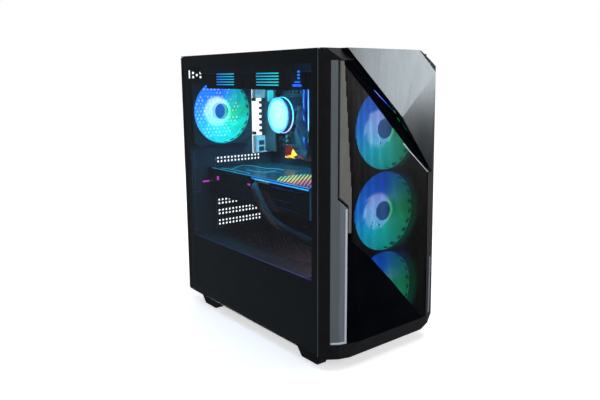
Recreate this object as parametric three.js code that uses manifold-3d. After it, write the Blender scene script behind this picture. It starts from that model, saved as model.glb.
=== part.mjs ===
// Desktop computer tower with a tempered glass door, a faceted front panel and six lit fans.
// Millimetres. While it is drawn, x = 0 is the outer face of the glass, y = 0 is the front edge of
// the glass and z = 0 is the underside of the body; the exported group moves the whole tower so that
// its origin is the middle of the footprint, on the floor. +Z up, the front faces -Y, glass at -X.
import * as THREE from "three";
import { mergeVertices } from "three/addons/utils/BufferGeometryUtils.js";
import Module from "manifold-3d";

const wasm = await Module();
wasm.setup();

// ---------------------------------------------------------------- driving dimensions
const WIDTH = 224;
const DEPTH = 390; // side panels, front edge to rear edge
const HEIGHT = 434; // body without its feet
const FOOT_HEIGHT = 18;
const FRONT_BULGE = 32; // how far the front panel stands out in front of the side panels
const GLASS = 4;
const STEEL = 1;
const PLASTIC = 2.5;
const GAP = 0.3; // between pieces that rest on each other
const SLACK = 1.5; // between the chassis and the outer panels
const TRIM = 0.8; // the glued-on trims and the dust meshes are thinner than the plastic

const FAN = 120;
const FAN_DEPTH = 25;
const FAN_RIM = 2.5; // between the bore and the side of the square
const FAN_BORE = FAN - 2 * FAN_RIM;
const FAN_HUB = 40;
const FAN_BLADES = 7;
const FAN_TIP_GAP = 1.6;
const SHAFT = 4;
const SHAFT_GAP = 0.1; // radial, more than a ring of flat facets takes away
const FRONT_FANS = 3;
const TOP_FANS = 2;
const TOP_FAN_PITCH = FAN + 2;

const BOARD_WIDTH = 244; // from the rear panel forwards
const BOARD_HEIGHT = 305;
const BOARD_THICKNESS = 1.6;
const STANDOFF = 6.5;
const CABLE_SPACE = 21; // behind the motherboard tray
const SLOT_PITCH = 20.32;
const SLOTS = 7;
const OPEN_SLOTS = [2, 3, 4]; // behind the graphics card's bracket; the others keep their covers
const SLOT_LENGTH = 112;
const SLOT_WIDTH = 13;
const CARD_SLOT = 2; // the slot that the graphics card plugs into, counted from the top

const PSU = [150, 160, 86];
const PSU_LIFT = 9; // of its underside above the underside of the body
const PSU_HEADROOM = 12; // between it and the top of the shroud
const SHROUD_HEIGHT = PSU_LIFT + PSU[2] + PSU_HEADROOM;
const RADIATOR = [FAN, TOP_FANS * TOP_FAN_PITCH + 33, 27];
const HOSE = 12;
const CARD = [136, 306, 50]; // reach from the board, length, thickness
const PUMP = 64;
const PUMP_HEIGHT = 52;
const BUTTON = 16;
const BUTTON_TRAVEL = 1.5;
const PIN = 3;

// ---------------------------------------------------------------- solids
function solid(geometry) {
  const bare = geometry.index ? geometry.toNonIndexed() : geometry.clone();
  bare.deleteAttribute("normal");
  bare.deleteAttribute("uv");
  const merged = mergeVertices(bare, 1e-4);
  return new wasm.Manifold(
    new wasm.Mesh({
      numProp: 3,
      vertProperties: merged.attributes.position.array,
      triVerts: new Uint32Array(merged.index.array),
    }),
  );
}

// A box from its ranges along x, y and z.
function block([x0, x1], [y0, y1], [z0, z1]) {
  const box = new THREE.BoxGeometry(x1 - x0, y1 - y0, z1 - z0);
  return solid(box.translate((x0 + x1) / 2, (y0 + y1) / 2, (z0 + z1) / 2));
}

// A round bar from one point to another; `sides` flats, its corners on the stated radius.
function rod(from, to, radius, sides = 24, endRadius = radius) {
  const a = new THREE.Vector3(...from);
  const b = new THREE.Vector3(...to);
  const along = b.clone().sub(a);
  const bar = new THREE.CylinderGeometry(endRadius, radius, along.length(), sides);
  const turn = new THREE.Quaternion().setFromUnitVectors(
    new THREE.Vector3(0, 1, 0),
    along.clone().normalize(),
  );
  bar.applyQuaternion(turn);
  bar.translate(...a.add(b).multiplyScalar(0.5));
  return solid(bar);
}

// A flat outline carried along one axis: (y, z) points along x, (x, z) along y, (x, y) along z.
const BASES = {
  x: [[0, 1, 0], [0, 0, 1], [1, 0, 0]],
  y: [[1, 0, 0], [0, 0, 1], [0, -1, 0]],
  z: [[1, 0, 0], [0, 1, 0], [0, 0, 1]],
};
function prism(points, axis, [from, to]) {
  const outline = new THREE.Shape(points.map(([u, v]) => new THREE.Vector2(u, v)));
  const body = new THREE.ExtrudeGeometry(outline, { depth: to - from, bevelEnabled: false });
  const [u, v, w] = BASES[axis].map((p) => new THREE.Vector3(...p));
  body.applyMatrix4(new THREE.Matrix4().makeBasis(u, v, w));
  const start = axis === "y" ? to : from;
  return solid(body.translate(...["x", "y", "z"].map((a) => (a === axis ? start : 0))));
}

const join = (first, ...rest) => rest.reduce((all, one) => all.add(one), first);
const cut = (first, ...rest) => rest.reduce((all, one) => all.subtract(one), first);
const mirrored = (range, about) => range.map((v) => 2 * about - v).reverse();

// ---------------------------------------------------------------- materials
const material = (color, roughness, metalness, opacity = 1) =>
  new THREE.MeshStandardMaterial({
    color,
    roughness,
    metalness,
    opacity,
    transparent: opacity < 1,
  });
const paintedSteel = material(0x151517, 0.55, 0.4);
const mattePlastic = material(0x1e1d20, 0.6, 0);
const glossPlastic = material(0x08090c, 0.12, 0);
const silverTrim = material(0x7c8c92, 0.38, 0.6);
const dustMesh = material(0x2b2b29, 0.7, 0.2);
const paleMesh = material(0x75716c, 0.6, 0.3);
const darkGlass = material(0x10181c, 0.05, 0, 0.4);
const fanPlastic = material(0x101114, 0.45, 0);
const litPlastic = material(0x3fb4e8, 0.4, 0);
const rubber = material(0x0d0d0e, 0.85, 0);
const bareAluminium = material(0x9a9ca0, 0.35, 0.9);
const boardLaminate = material(0x101316, 0.5, 0);
const bareSteel = material(0xa8aaad, 0.3, 1);

const tower = new THREE.Group();
tower.position.set(-WIDTH / 2, -(DEPTH - FRONT_BULGE) / 2, FOOT_HEIGHT);

function add(name, shape, finish, parent = tower) {
  const { vertProperties, triVerts, numProp } = shape.getMesh();
  const count = vertProperties.length / numProp;
  const position = new Float32Array(count * 3);
  for (let i = 0; i < count; i++) {
    position.set(vertProperties.subarray(i * numProp, i * numProp + 3), i * 3);
  }
  const geometry = new THREE.BufferGeometry();
  geometry.setAttribute("position", new THREE.BufferAttribute(position, 3));
  geometry.setIndex(new THREE.BufferAttribute(new Uint32Array(triVerts), 1));
  geometry.computeVertexNormals();
  const mesh = new THREE.Mesh(geometry, finish);
  mesh.name = name;
  parent.add(mesh);
}

// ---------------------------------------------------------------- places that pieces share
const INSIDE_X = [GLASS + 4, WIDTH - STEEL - SLACK]; // the chassis between the side panels
const TRAY_X = WIDTH - STEEL - CABLE_SPACE - STEEL;
const BOARD_X = TRAY_X - STANDOFF; // back of the motherboard
const BOARD_FACE = BOARD_X - BOARD_THICKNESS;
const REAR_Y = DEPTH - 5; // inner face of the rear panel
const FLOOR_Z = STEEL + GAP;
const ROOF_Z = HEIGHT - 4; // underside of the top plate
const BOARD_Z = [SHROUD_HEIGHT + 1, SHROUD_HEIGHT + 1 + BOARD_HEIGHT];
const FIRST_SLOT_Z = BOARD_Z[0] + 12.7 + (SLOTS - 1) * SLOT_PITCH;
const slotZ = (n) => FIRST_SLOT_Z - (n - 1) * SLOT_PITCH;
const SLOT_X = [BOARD_FACE - 9 - SLOT_LENGTH, BOARD_FACE - 9];
const REAR_FAN = [INSIDE_X[0] + FAN / 2, ROOF_Z - 35 - FAN / 2];
const TOP_FAN_X = REAR_FAN[0] + 8;
const TOP_FAN_Z = ROOF_Z - GAP - RADIATOR[2] - GAP; // upper faces of the top fans
const RADIATOR_MID_Y = 208;
const FRONT_FAN_X = WIDTH / 2;
const FRONT_FAN_Y = 16 - FRONT_BULGE; // front faces of the front fans
const FRONT_FAN_LOW = 23; // lower edge of the lowest front fan
const frontFanZ = (n) => FRONT_FAN_LOW + FAN / 2 + n * FAN;
const FRONT_WALL_Y = FRONT_FAN_Y + FAN_DEPTH + GAP;
const CPU = [BOARD_FACE, REAR_Y - 100, BOARD_Z[1] - 85];
const IO_Z = [BOARD_Z[1] - 5 - 158, BOARD_Z[1] - 5];
const IO_X = [BOARD_FACE - 44, BOARD_FACE + 1];
const PSU_X = [25, 25 + PSU[0]];
const PSU_Y = [REAR_Y - GAP - PSU[1], REAR_Y - GAP];
const PSU_Z = [PSU_LIFT, PSU_LIFT + PSU[2]];
const DOOR_PIN = [3.3, DEPTH - 3.5];
const RAIL_Y = [DEPTH - 9.7, DEPTH - 0.5];

// The upper right front corner is cut off by one slanting plane through these points, which crosses
// the front panel, the top plate and the right side panel alike.
const CORNER_CUT = [
  [WIDTH - 34, -10, HEIGHT - 2],
  [WIDTH - 1, -10, HEIGHT - 24],
  [WIDTH, 22, HEIGHT],
];
const cornerPlane = (() => {
  const [a, b, c] = CORNER_CUT.map((p) => new THREE.Vector3(...p));
  const normal = b.clone().sub(a).cross(c.clone().sub(a)).normalize();
  return { normal, offset: normal.dot(a) };
})();
const behindPlane = (shape, { normal, offset }, inset = 0) =>
  shape.trimByPlane([-normal.x, -normal.y, -normal.z], inset - offset);

// ---------------------------------------------------------------- fans
// A square frame with a round bore; four struts at its back carry the motor, whose bearing holds the
// impeller's shaft. Drawn with its air inlet at z = 0 and the struts towards z = FAN_DEPTH.
const STRUT = 3;
const MOTOR = [FAN_DEPTH - 8, FAN_DEPTH - GAP];
const CORNER = 6;

function fanFrame() {
  const h = FAN / 2;
  const c = h - CORNER;
  const outline = [[-h, -c], [-c, -h], [c, -h], [h, -c], [h, c], [c, h], [-c, h], [-h, c]];
  const ring = cut(
    prism(outline, "z", [0, FAN_DEPTH]),
    rod([0, 0, -1], [0, 0, FAN_DEPTH + 1], FAN_BORE / 2),
  );
  const struts = [0, 1, 2, 3].map((n) => {
    const bar = block([0, FAN_BORE / 2 + 1], [-STRUT / 2, STRUT / 2], [MOTOR[1] - STRUT, MOTOR[1]]);
    return bar.rotate([0, 0, 45 + 90 * n]);
  });
  const motor = rod([0, 0, MOTOR[0]], [0, 0, MOTOR[1]], FAN_HUB / 2 - 1, 16);
  const bearing = rod([0, 0, MOTOR[0] - 1], [0, 0, MOTOR[1] - 2], SHAFT / 2 + SHAFT_GAP + 0.1, 12);
  return cut(join(ring, motor, ...struts), bearing);
}

// One blade: a thin sheet whose chord turns from steep at the hub to flat at the tip.
function blade(rootRadius, tipRadius, [front, back]) {
  const steps = 3;
  const thickness = 1.6;
  const points = [];
  for (let i = 0; i <= steps; i++) {
    const t = i / steps;
    const r = rootRadius + (tipRadius - rootRadius) * t;
    const halfAngle = 0.34 - 0.06 * t;
    const sweep = 0.28 * t * t;
    [[-halfAngle, front], [halfAngle, back]].forEach(([angle, z]) => {
      const a = angle + sweep;
      [0, thickness].forEach((lift) => {
        points.push([r * Math.cos(a), r * Math.sin(a), z + (z === front ? lift : -thickness + lift)]);
      });
    });
  }
  const quads = [];
  const at = (i, k) => i * 4 + k;
  for (let i = 0; i < steps; i++) {
    quads.push([at(i, 0), at(i, 2), at(i + 1, 2), at(i + 1, 0)]);
    quads.push([at(i, 1), at(i + 1, 1), at(i + 1, 3), at(i, 3)]);
    quads.push([at(i, 0), at(i + 1, 0), at(i + 1, 1), at(i, 1)]);
    quads.push([at(i, 2), at(i, 3), at(i + 1, 3), at(i + 1, 2)]);
  }
  quads.push([at(0, 0), at(0, 1), at(0, 3), at(0, 2)]);
  quads.push([at(steps, 0), at(steps, 2), at(steps, 3), at(steps, 1)]);
  const geometry = new THREE.BufferGeometry();
  const corners = quads.flatMap(([a, b, c, d]) => [a, b, c, a, c, d]);
  const position = corners.flatMap((k) => points[k]);
  geometry.setAttribute("position", new THREE.Float32BufferAttribute(position, 3));
  const made = solid(geometry);
  return made.volume() < 0 ? solid(geometry.scale(1, 1, -1)).scale([1, 1, -1]) : made;
}

function impeller(bore, hub, depth, blades) {
  const front = 1.5;
  const tip = (bore / 2) * Math.cos(Math.PI / 24) - FAN_TIP_GAP;
  const cap = rod([0, 0, front], [0, 0, depth], hub / 2, 16);
  const shaft = rod([0, 0, depth - 1], [0, 0, depth + 4], SHAFT / 2, 12);
  const sheets = Array.from({ length: blades }, (_, n) =>
    blade(hub / 2 - 2, tip, [front + 1, depth - 1]).rotate([0, 0, (360 / blades) * n]),
  );
  return join(cap, shaft, ...sheets);
}

const frameShape = fanFrame();
const impellerShape = impeller(FAN_BORE, FAN_HUB, MOTOR[0] - GAP, FAN_BLADES);

function addFan(label, [x, y, z], turn) {
  const fan = new THREE.Group();
  fan.position.set(x, y, z);
  fan.rotation.set(...turn);
  tower.add(fan);
  add(label.replace("fan", "fan_frame"), frameShape, fanPlastic, fan);
  add(label.replace("fan", "impeller"), impellerShape, litPlastic, fan);
}

const BLOWS_BACK = [-Math.PI / 2, 0, 0]; // inlet at the lower y
const BLOWS_UP = [0, 0, 0];
for (let n = 0; n < FRONT_FANS; n++) {
  addFan(`front_fan_${n + 1}`, [FRONT_FAN_X, FRONT_FAN_Y, frontFanZ(n)], BLOWS_BACK);
}
addFan("rear_fan", [REAR_FAN[0], REAR_Y - GAP - FAN_DEPTH, REAR_FAN[1]], BLOWS_BACK);
for (let n = 0; n < TOP_FANS; n++) {
  const y = RADIATOR_MID_Y + (n - (TOP_FANS - 1) / 2) * TOP_FAN_PITCH;
  addFan(`top_fan_${n + 1}`, [TOP_FAN_X, y, TOP_FAN_Z - FAN_DEPTH], BLOWS_UP);
}

// ---------------------------------------------------------------- chassis
const PSU_INTAKE = { x: [32, 168], y: [PSU_Y[0] + 10, PSU_Y[1] - 14] };
const FILTER_SLOT = { x: [PSU_INTAKE.x[0] - 6, PSU_INTAKE.x[1] + 6], z: [-4, -GAP] };

function bottomPlate() {
  const sheet = block(INSIDE_X, [GAP, REAR_Y + STEEL], [0, STEEL]);
  const intake = block(PSU_INTAKE.x, PSU_INTAKE.y, [-1, STEEL + 1]);
  const bars = [1, 2, 3].map((n) => {
    const y = PSU_INTAKE.y[0] + ((PSU_INTAKE.y[1] - PSU_INTAKE.y[0]) * n) / 4;
    return block([PSU_INTAKE.x[0] - 1, PSU_INTAKE.x[1] + 1], [y - 2, y + 2], [0, STEEL]);
  });
  return join(cut(sheet, intake), ...bars);
}
add("bottom_plate", bottomPlate(), paintedSteel);

// Slides out towards the rear on two rails folded from its own frame.
const FILTER_RAIL = 8;
add(
  "psu_filter",
  cut(
    block(FILTER_SLOT.x, [PSU_Y[0] - 4, DEPTH - 2], FILTER_SLOT.z),
    block(
      [FILTER_SLOT.x[0] + FILTER_RAIL, FILTER_SLOT.x[1] - FILTER_RAIL],
      [PSU_Y[0] + 4, DEPTH - 16],
      [FILTER_SLOT.z[0] - 1, FILTER_SLOT.z[1] - 1.2],
    ),
  ),
  dustMesh,
);

const OPENING_EDGE = [4, 22.5]; // what the roof's opening leaves of the radiator's width and length
const TOP_OPENING = {
  x: [-1, 1].map((side) => TOP_FAN_X + side * (RADIATOR[0] / 2 - OPENING_EDGE[0])),
  y: [-1, 1].map((side) => RADIATOR_MID_Y + side * (RADIATOR[1] / 2 - OPENING_EDGE[1])),
};
const FILTER_TOP = { x: [16, WIDTH - 16], y: [50, DEPTH - 14], z: [HEIGHT - 2.5, HEIGHT] };
const IO_BLOCK = {
  x: [WIDTH / 2 - 52, WIDTH / 2 + 52],
  y: [FRONT_WALL_Y + STEEL + 2, FRONT_WALL_Y + STEEL + 26],
};
const IO_MID_Y = (IO_BLOCK.y[0] + IO_BLOCK.y[1]) / 2;
const POWER = [IO_BLOCK.x[0] + 18, IO_MID_Y];
const RESET = [IO_BLOCK.x[0] + 40, IO_MID_Y];

// The top is a steel sheet with a raised rim that frames the dust filter and carries
// the row of buttons and sockets near its front edge.
function topPlate() {
  const sheet = block(INSIDE_X, [GAP, REAR_Y + STEEL], [ROOF_Z, ROOF_Z + STEEL]);
  const rim = cut(
    block(INSIDE_X, [GAP, DEPTH - 1], [ROOF_Z, HEIGHT]),
    block(
      FILTER_TOP.x.map((v, i) => v + (i ? GAP : -GAP)),
      FILTER_TOP.y.map((v, i) => v + (i ? GAP : -GAP)),
      [FILTER_TOP.z[0] - GAP, HEIGHT + 1],
    ),
  );
  const open = cut(
    join(sheet, rim),
    block(TOP_OPENING.x, TOP_OPENING.y, [ROOF_Z - 1, HEIGHT + 1]),
    block(IO_BLOCK.x, IO_BLOCK.y, [ROOF_Z - 1, HEIGHT + 1]),
  );
  return behindPlane(open, cornerPlane);
}
add("top_plate", topPlate(), paintedSteel);
add(
  "top_dust_filter",
  cut(
    block(FILTER_TOP.x, FILTER_TOP.y, FILTER_TOP.z),
    block(
      FILTER_TOP.x.map((v, i) => v + (i ? -8 : 8)),
      FILTER_TOP.y.map((v, i) => v + (i ? -8 : 8)),
      [FILTER_TOP.z[0] - 1, HEIGHT - TRIM],
    ),
  ),
  dustMesh,
);

const GRILLE_BAR = 5;
function rearPanel() {
  const sheet = block(INSIDE_X, [REAR_Y, REAR_Y + STEEL], [FLOOR_Z, ROOF_Z - GAP]);
  const through = [REAR_Y - 1, REAR_Y + STEEL + 1];
  const slots = OPEN_SLOTS.map((n) => {
    const z = slotZ(n);
    return block(SLOT_X, through, [z - SLOT_WIDTH / 2, z + SLOT_WIDTH / 2]);
  });
  const [fx, fz] = REAR_FAN;
  const bars = Array.from({ length: 9 }, (_, n) => {
    const z = fz + (n - 4) * (FAN_BORE / 10);
    return block([fx - FAN_BORE / 2, fx + FAN_BORE / 2], [REAR_Y, REAR_Y + STEEL], [z, z + GRILLE_BAR]);
  });
  const open = cut(
    sheet,
    rod([fx, through[0], fz], [fx, through[1], fz], FAN_BORE / 2),
    block(IO_X, through, IO_Z),
    block([PSU_X[0] + 4, PSU_X[1] - 4], through, [PSU_Z[0] + 4, PSU_Z[1] - 4]),
    ...slots,
  );
  return join(open, ...bars);
}
add("rear_panel", rearPanel(), paintedSteel);

// The front wall of the chassis; the front fans are screwed to its outer side.
add(
  "front_wall",
  cut(
    block(INSIDE_X, [FRONT_WALL_Y, FRONT_WALL_Y + STEEL], [FLOOR_Z, ROOF_Z - GAP]),
    block(
      [FRONT_FAN_X - FAN / 2 + 4, FRONT_FAN_X + FAN / 2 - 4],
      [FRONT_WALL_Y - 1, FRONT_WALL_Y + STEEL + 1],
      [frontFanZ(0) - FAN / 2 + 4, frontFanZ(FRONT_FANS - 1) + FAN / 2 - 4],
    ),
  ),
  paintedSteel,
);

const TRAY_Y = [FRONT_WALL_Y + STEEL + GAP, REAR_Y - GAP];
const CABLE_SLOT_Y = [REAR_Y - BOARD_WIDTH - 26, REAR_Y - BOARD_WIDTH - 6];
add(
  "motherboard_tray",
  cut(
    block([TRAY_X, TRAY_X + STEEL], TRAY_Y, [FLOOR_Z, ROOF_Z - GAP]),
    block([TRAY_X - 1, TRAY_X + STEEL + 1], CABLE_SLOT_Y, [BOARD_Z[0] + 30, BOARD_Z[0] + 100]),
    block([TRAY_X - 1, TRAY_X + STEEL + 1], CABLE_SLOT_Y, [BOARD_Z[0] + 150, BOARD_Z[0] + 230]),
  ),
  paintedSteel,
);

const SHROUD_X = [INSIDE_X[0] + 2, TRAY_X - GAP];
const SHROUD_CABLE_HOLE = { x: [58, 98], y: [52, 82] };
add(
  "psu_shroud",
  cut(
    block(SHROUD_X, TRAY_Y, [FLOOR_Z, SHROUD_HEIGHT]),
    block(
      [SHROUD_X[0] + STEEL, SHROUD_X[1] + 1],
      [TRAY_Y[0] - 1, TRAY_Y[1] + 1],
      [FLOOR_Z - 1, SHROUD_HEIGHT - STEEL],
    ),
    block(SHROUD_CABLE_HOLE.x, SHROUD_CABLE_HOLE.y, [SHROUD_HEIGHT - 2, SHROUD_HEIGHT + 1]),
  ),
  paintedSteel,
);

const FOOT = { length: 62, flat: 38, width: 16, inset: 8 };
function foot([x0, x1], middle) {
  const long = FOOT.length / 2;
  const flat = FOOT.flat / 2;
  const underside = FILTER_SLOT.z[0];
  return prism(
    [
      [middle - long, -GAP],
      [middle - flat, -FOOT_HEIGHT],
      [middle + flat, -FOOT_HEIGHT],
      [middle + long, underside],
      [middle + long, -GAP],
    ],
    "x",
    [x0, x1],
  );
}
const FOOT_FRONT_Y = 30;
const FOOT_REAR_Y = DEPTH - 66;
const leftFootX = [FOOT.inset, FOOT.inset + FOOT.width];
add("foot_front_left", foot(leftFootX, FOOT_FRONT_Y), rubber);
add("foot_rear_left", foot(leftFootX, FOOT_REAR_Y), rubber);
add("foot_front_right", foot(mirrored(leftFootX, WIDTH / 2), FOOT_FRONT_Y), rubber);
add("foot_rear_right", foot(mirrored(leftFootX, WIDTH / 2), FOOT_REAR_Y), rubber);

// ---------------------------------------------------------------- side panels and the door's hinge
const DOOR_Z = [0.5, HEIGHT - 0.5];
const KNUCKLE = 14; // how far each pin reaches into the rail
const BRACKET = 1.5;
add("glass_pane", block([0, GLASS], [0, RAIL_Y[0] - GAP], DOOR_Z), darkGlass);

function doorRail() {
  const bar = block([GAP, 6.3], RAIL_Y, [DOOR_Z[0] + BRACKET + 1, DOOR_Z[1] - BRACKET - 1]);
  const flange = block(
    [GLASS + GAP, 6.3],
    [RAIL_Y[0] - 12, RAIL_Y[0] + 1],
    [DOOR_Z[0] + BRACKET + 1, DOOR_Z[1] - BRACKET - 1],
  );
  const bores = [DOOR_Z[0] - 1, DOOR_Z[1] - KNUCKLE - 3].map((z) =>
    rod([...DOOR_PIN, z], [...DOOR_PIN, z + KNUCKLE + 5], PIN / 2 + SHAFT_GAP, 12),
  );
  return cut(join(bar, flange), ...bores);
}
add("door_rail", doorRail(), paintedSteel);

// Each hinge bracket is a steel tab held under the chassis plate, with the pin pressed into it.
function hingeBracket(up) {
  const tabZ = [0, BRACKET];
  const tab = block([0.8, INSIDE_X[0] - GAP], [DEPTH - 6.5, DEPTH - 0.8], tabZ);
  const pin = rod([...DOOR_PIN, BRACKET - 0.5], [...DOOR_PIN, BRACKET + KNUCKLE - 2], PIN / 2, 12);
  const shape = join(tab, pin);
  return up ? shape.translate([0, 0, DOOR_Z[0]]) : shape.scale([1, 1, -1]).translate([0, 0, DOOR_Z[1]]);
}
add("hinge_pin_lower", hingeBracket(true), bareSteel);
add("hinge_pin_upper", hingeBracket(false), bareSteel);

const SIDE_LIP = 0.9;
add(
  "right_panel",
  behindPlane(
    join(
      block([WIDTH - STEEL, WIDTH], [GAP, DEPTH], [0, HEIGHT]),
      block([WIDTH - STEEL - SIDE_LIP, WIDTH], [DEPTH - STEEL, DEPTH], [12, HEIGHT - 12]),
    ),
    cornerPlane,
  ),
  paintedSteel,
);

// ---------------------------------------------------------------- front panel
// Its outer skin is a hollow solid bounded by slanting flat facets. Seen from above at the bottom,
// its corners are these; the wide facet and the right cheek lean back as they rise.
const PLAN = [
  [0, 0],
  [2, -12],
  [20, -23.5],
  [52, -FRONT_BULGE],
  [WIDTH - 24, 6 - FRONT_BULGE],
  [WIDTH - 1, -16],
];
const LEAN = 0.019;
const FRONT_TOP = HEIGHT - 2;
const TOP_BEVEL_Z = HEIGHT - 17;
const BOTTOM_BEVEL_Z = 22;

function wall([x0, y0], [x1, y1], lean, z) {
  const normal = new THREE.Vector3(y1 - y0, x0 - x1, lean * (x1 - x0)).normalize();
  return { normal, offset: normal.dot(new THREE.Vector3(x0, y0 + lean * z, z)) };
}
function slope(x, z, run, rise) {
  const normal = new THREE.Vector3(rise, 0, run).normalize();
  return { normal, offset: normal.dot(new THREE.Vector3(x, 0, z)) };
}
const wideWall = wall(PLAN[3], PLAN[4], LEAN, 0);
const bevel = (z, steep) => {
  const n = new THREE.Vector3(PLAN[4][1] - PLAN[3][1], PLAN[3][0] - PLAN[4][0], 0);
  n.z = steep * (PLAN[4][0] - PLAN[3][0]);
  n.normalize();
  return { normal: n, offset: n.dot(new THREE.Vector3(PLAN[3][0], PLAN[3][1] + LEAN * z, z)) };
};
const FACETS = [
  wall(PLAN[0], PLAN[1], 0, 0),
  wall(PLAN[1], PLAN[2], 0, 0),
  wall(PLAN[2], PLAN[3], 0, 0),
  wideWall,
  wall(PLAN[4], PLAN[5], LEAN, 0),
  bevel(TOP_BEVEL_Z, 0.82),
  bevel(BOTTOM_BEVEL_Z, -0.2),
  cornerPlane,
  slope(WIDTH - 30, 0, -29, 18),
];

// Everything behind the facets, each moved inwards by `inset`.
function behindFacets(inset, back) {
  const start = block(
    [inset, WIDTH - inset],
    [-FRONT_BULGE - 10, back],
    [inset, FRONT_TOP - inset],
  );
  return FACETS.reduce((body, facet) => behindPlane(body, facet, inset), start);
}
const layer = (outer, inner) => behindFacets(outer, -GAP).subtract(behindFacets(inner, 1));
const across = [-FRONT_BULGE - 20, 20];
const pane = (points, outer, inner) => prism(points, "y", across).intersect(layer(outer, inner));

// The outlines are (x, z). The left cheek holds the silver trim and the pale mesh; the slanting
// gloss band divides the upper right facet panel from the dark mesh. Their points are drawn on a
// face that reaches from LEFT to RIGHT and from LOW to HIGH, and stretch with the face that is made.
const SEAM = 0.5;
const TRIM_LEFT = 9;
const EDGE_TOP = TOP_BEVEL_Z;
const EDGE_BOTTOM = BOTTOM_BEVEL_Z;
const MESH_RIGHT = WIDTH - 25;
const [LEFT, RIGHT, LOW, HIGH] = [38, 199, 22, 417];
const stretched = (v, [from, to], end) => (v <= from ? v : from + ((v - from) * (end - from)) / (to - from));
const onFace = ([x, z]) => [stretched(x, [LEFT, RIGHT], MESH_RIGHT), stretched(z, [LOW, HIGH], EDGE_TOP)];
const STRIP = { left: 19, rightTop: 25, rightLow: 37.5, stepX: 31 };
const heightOnFace = (z) => onFace([0, z])[1];
const STRIP_BOTTOM = heightOnFace(183);
const KNEE_Z = heightOnFace(230);
const STEP_LOW = heightOnFace(219);
const STEP_HIGH = heightOnFace(232);
// The ridge between the left cheek and the wide facet leans to the right as it goes down.
const ridgeX = (z) =>
  STRIP.rightTop + ((EDGE_TOP - z) * (STRIP.rightLow - STRIP.rightTop)) / (EDGE_TOP - KNEE_Z);
const BAND_LOW = [[27, 410], [67, 375], [114, 330], [154, 293], [RIGHT, 256]].map(onFace);
const BAND_HIGH = [[130, 340], [27, HIGH]].map(onFace);
const CORNER_PANEL = [[RIGHT, 257], [RIGHT, 404], [160, HIGH], [30, HIGH], [131, 340]].map(onFace);
const LOWER_PANEL = [
  [STRIP.stepX + 1, 176], [78, 138], [122, 95], [152, 63], [192, LOW], [STRIP.stepX + 1, LOW],
].map(onFace);
const shrink = (points, by) => {
  const cx = points.reduce((s, p) => s + p[0], 0) / points.length;
  const cz = points.reduce((s, p) => s + p[1], 0) / points.length;
  return points.map(([x, z]) => [x + Math.sign(cx - x) * by, z + Math.sign(cz - z) * by]);
};

const trimOutline = [
  [TRIM_LEFT, EDGE_BOTTOM], [STRIP.stepX, EDGE_BOTTOM], [STRIP.stepX, STEP_LOW],
  [STRIP.left - 2, STEP_HIGH], [STRIP.left - 2, EDGE_TOP], [TRIM_LEFT, EDGE_TOP],
];
const stripOutline = [
  [STRIP.left, STEP_HIGH + 2], [STRIP.stepX + 2, STEP_LOW + 2], [STRIP.stepX + 2, STRIP_BOTTOM],
  [STRIP.rightLow, STRIP_BOTTOM], [STRIP.rightLow, KNEE_Z], [STRIP.rightTop, EDGE_TOP],
  [STRIP.left, EDGE_TOP],
];
const MESH_TOP = EDGE_TOP - 8;
const meshOutline = [
  [STRIP.rightLow + SEAM, STRIP_BOTTOM], [STRIP.rightLow + SEAM, KNEE_Z], [ridgeX(MESH_TOP) + SEAM, MESH_TOP],
  ...BAND_LOW.map(([x, z]) => [x, z - 3]),
  [MESH_RIGHT, EDGE_BOTTOM + 2],
  ...LOWER_PANEL.slice(1, 5).reverse().map(([x, z]) => [x + 2, z + 2]),
  [STRIP.stepX + 1, STRIP_BOTTOM - 4],
];

// The moulded frame: the cheeks, lips and side walls, with a flange behind every inserted piece.
const openingOutline = [
  [TRIM_LEFT - SEAM, EDGE_BOTTOM - SEAM], [MESH_RIGHT + SEAM, EDGE_BOTTOM - SEAM],
  [MESH_RIGHT + SEAM, EDGE_TOP - 13], [MESH_RIGHT - 38, EDGE_TOP + SEAM], [TRIM_LEFT - SEAM, EDGE_TOP + SEAM],
];
const FLANGE = 8;
const flangeOutline = shrink(openingOutline, FLANGE);
const shell = cut(layer(0, PLASTIC), prism(openingOutline, "y", across));
const flange = cut(
  layer(PLASTIC + GAP - 0.6, PLASTIC + 2),
  prism(flangeOutline, "y", across),
  cut(prism(openingOutline, "y", across), behindFacets(PLASTIC + GAP, 20)),
);
add("front_frame", join(shell, flange), mattePlastic);
add("left_trim", pane(trimOutline, 0, PLASTIC), silverTrim);
add("pale_mesh_strip", pane(stripOutline, TRIM, PLASTIC), paleMesh);
add("front_mesh", pane(meshOutline, TRIM, PLASTIC), dustMesh);
add("gloss_band", pane([...BAND_LOW, ...BAND_HIGH], 0, PLASTIC), glossPlastic);
add("corner_panel", pane(shrink(CORNER_PANEL, SEAM), 0, PLASTIC), glossPlastic);
add("lower_panel", pane(LOWER_PANEL, 0, PLASTIC), glossPlastic);

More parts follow.
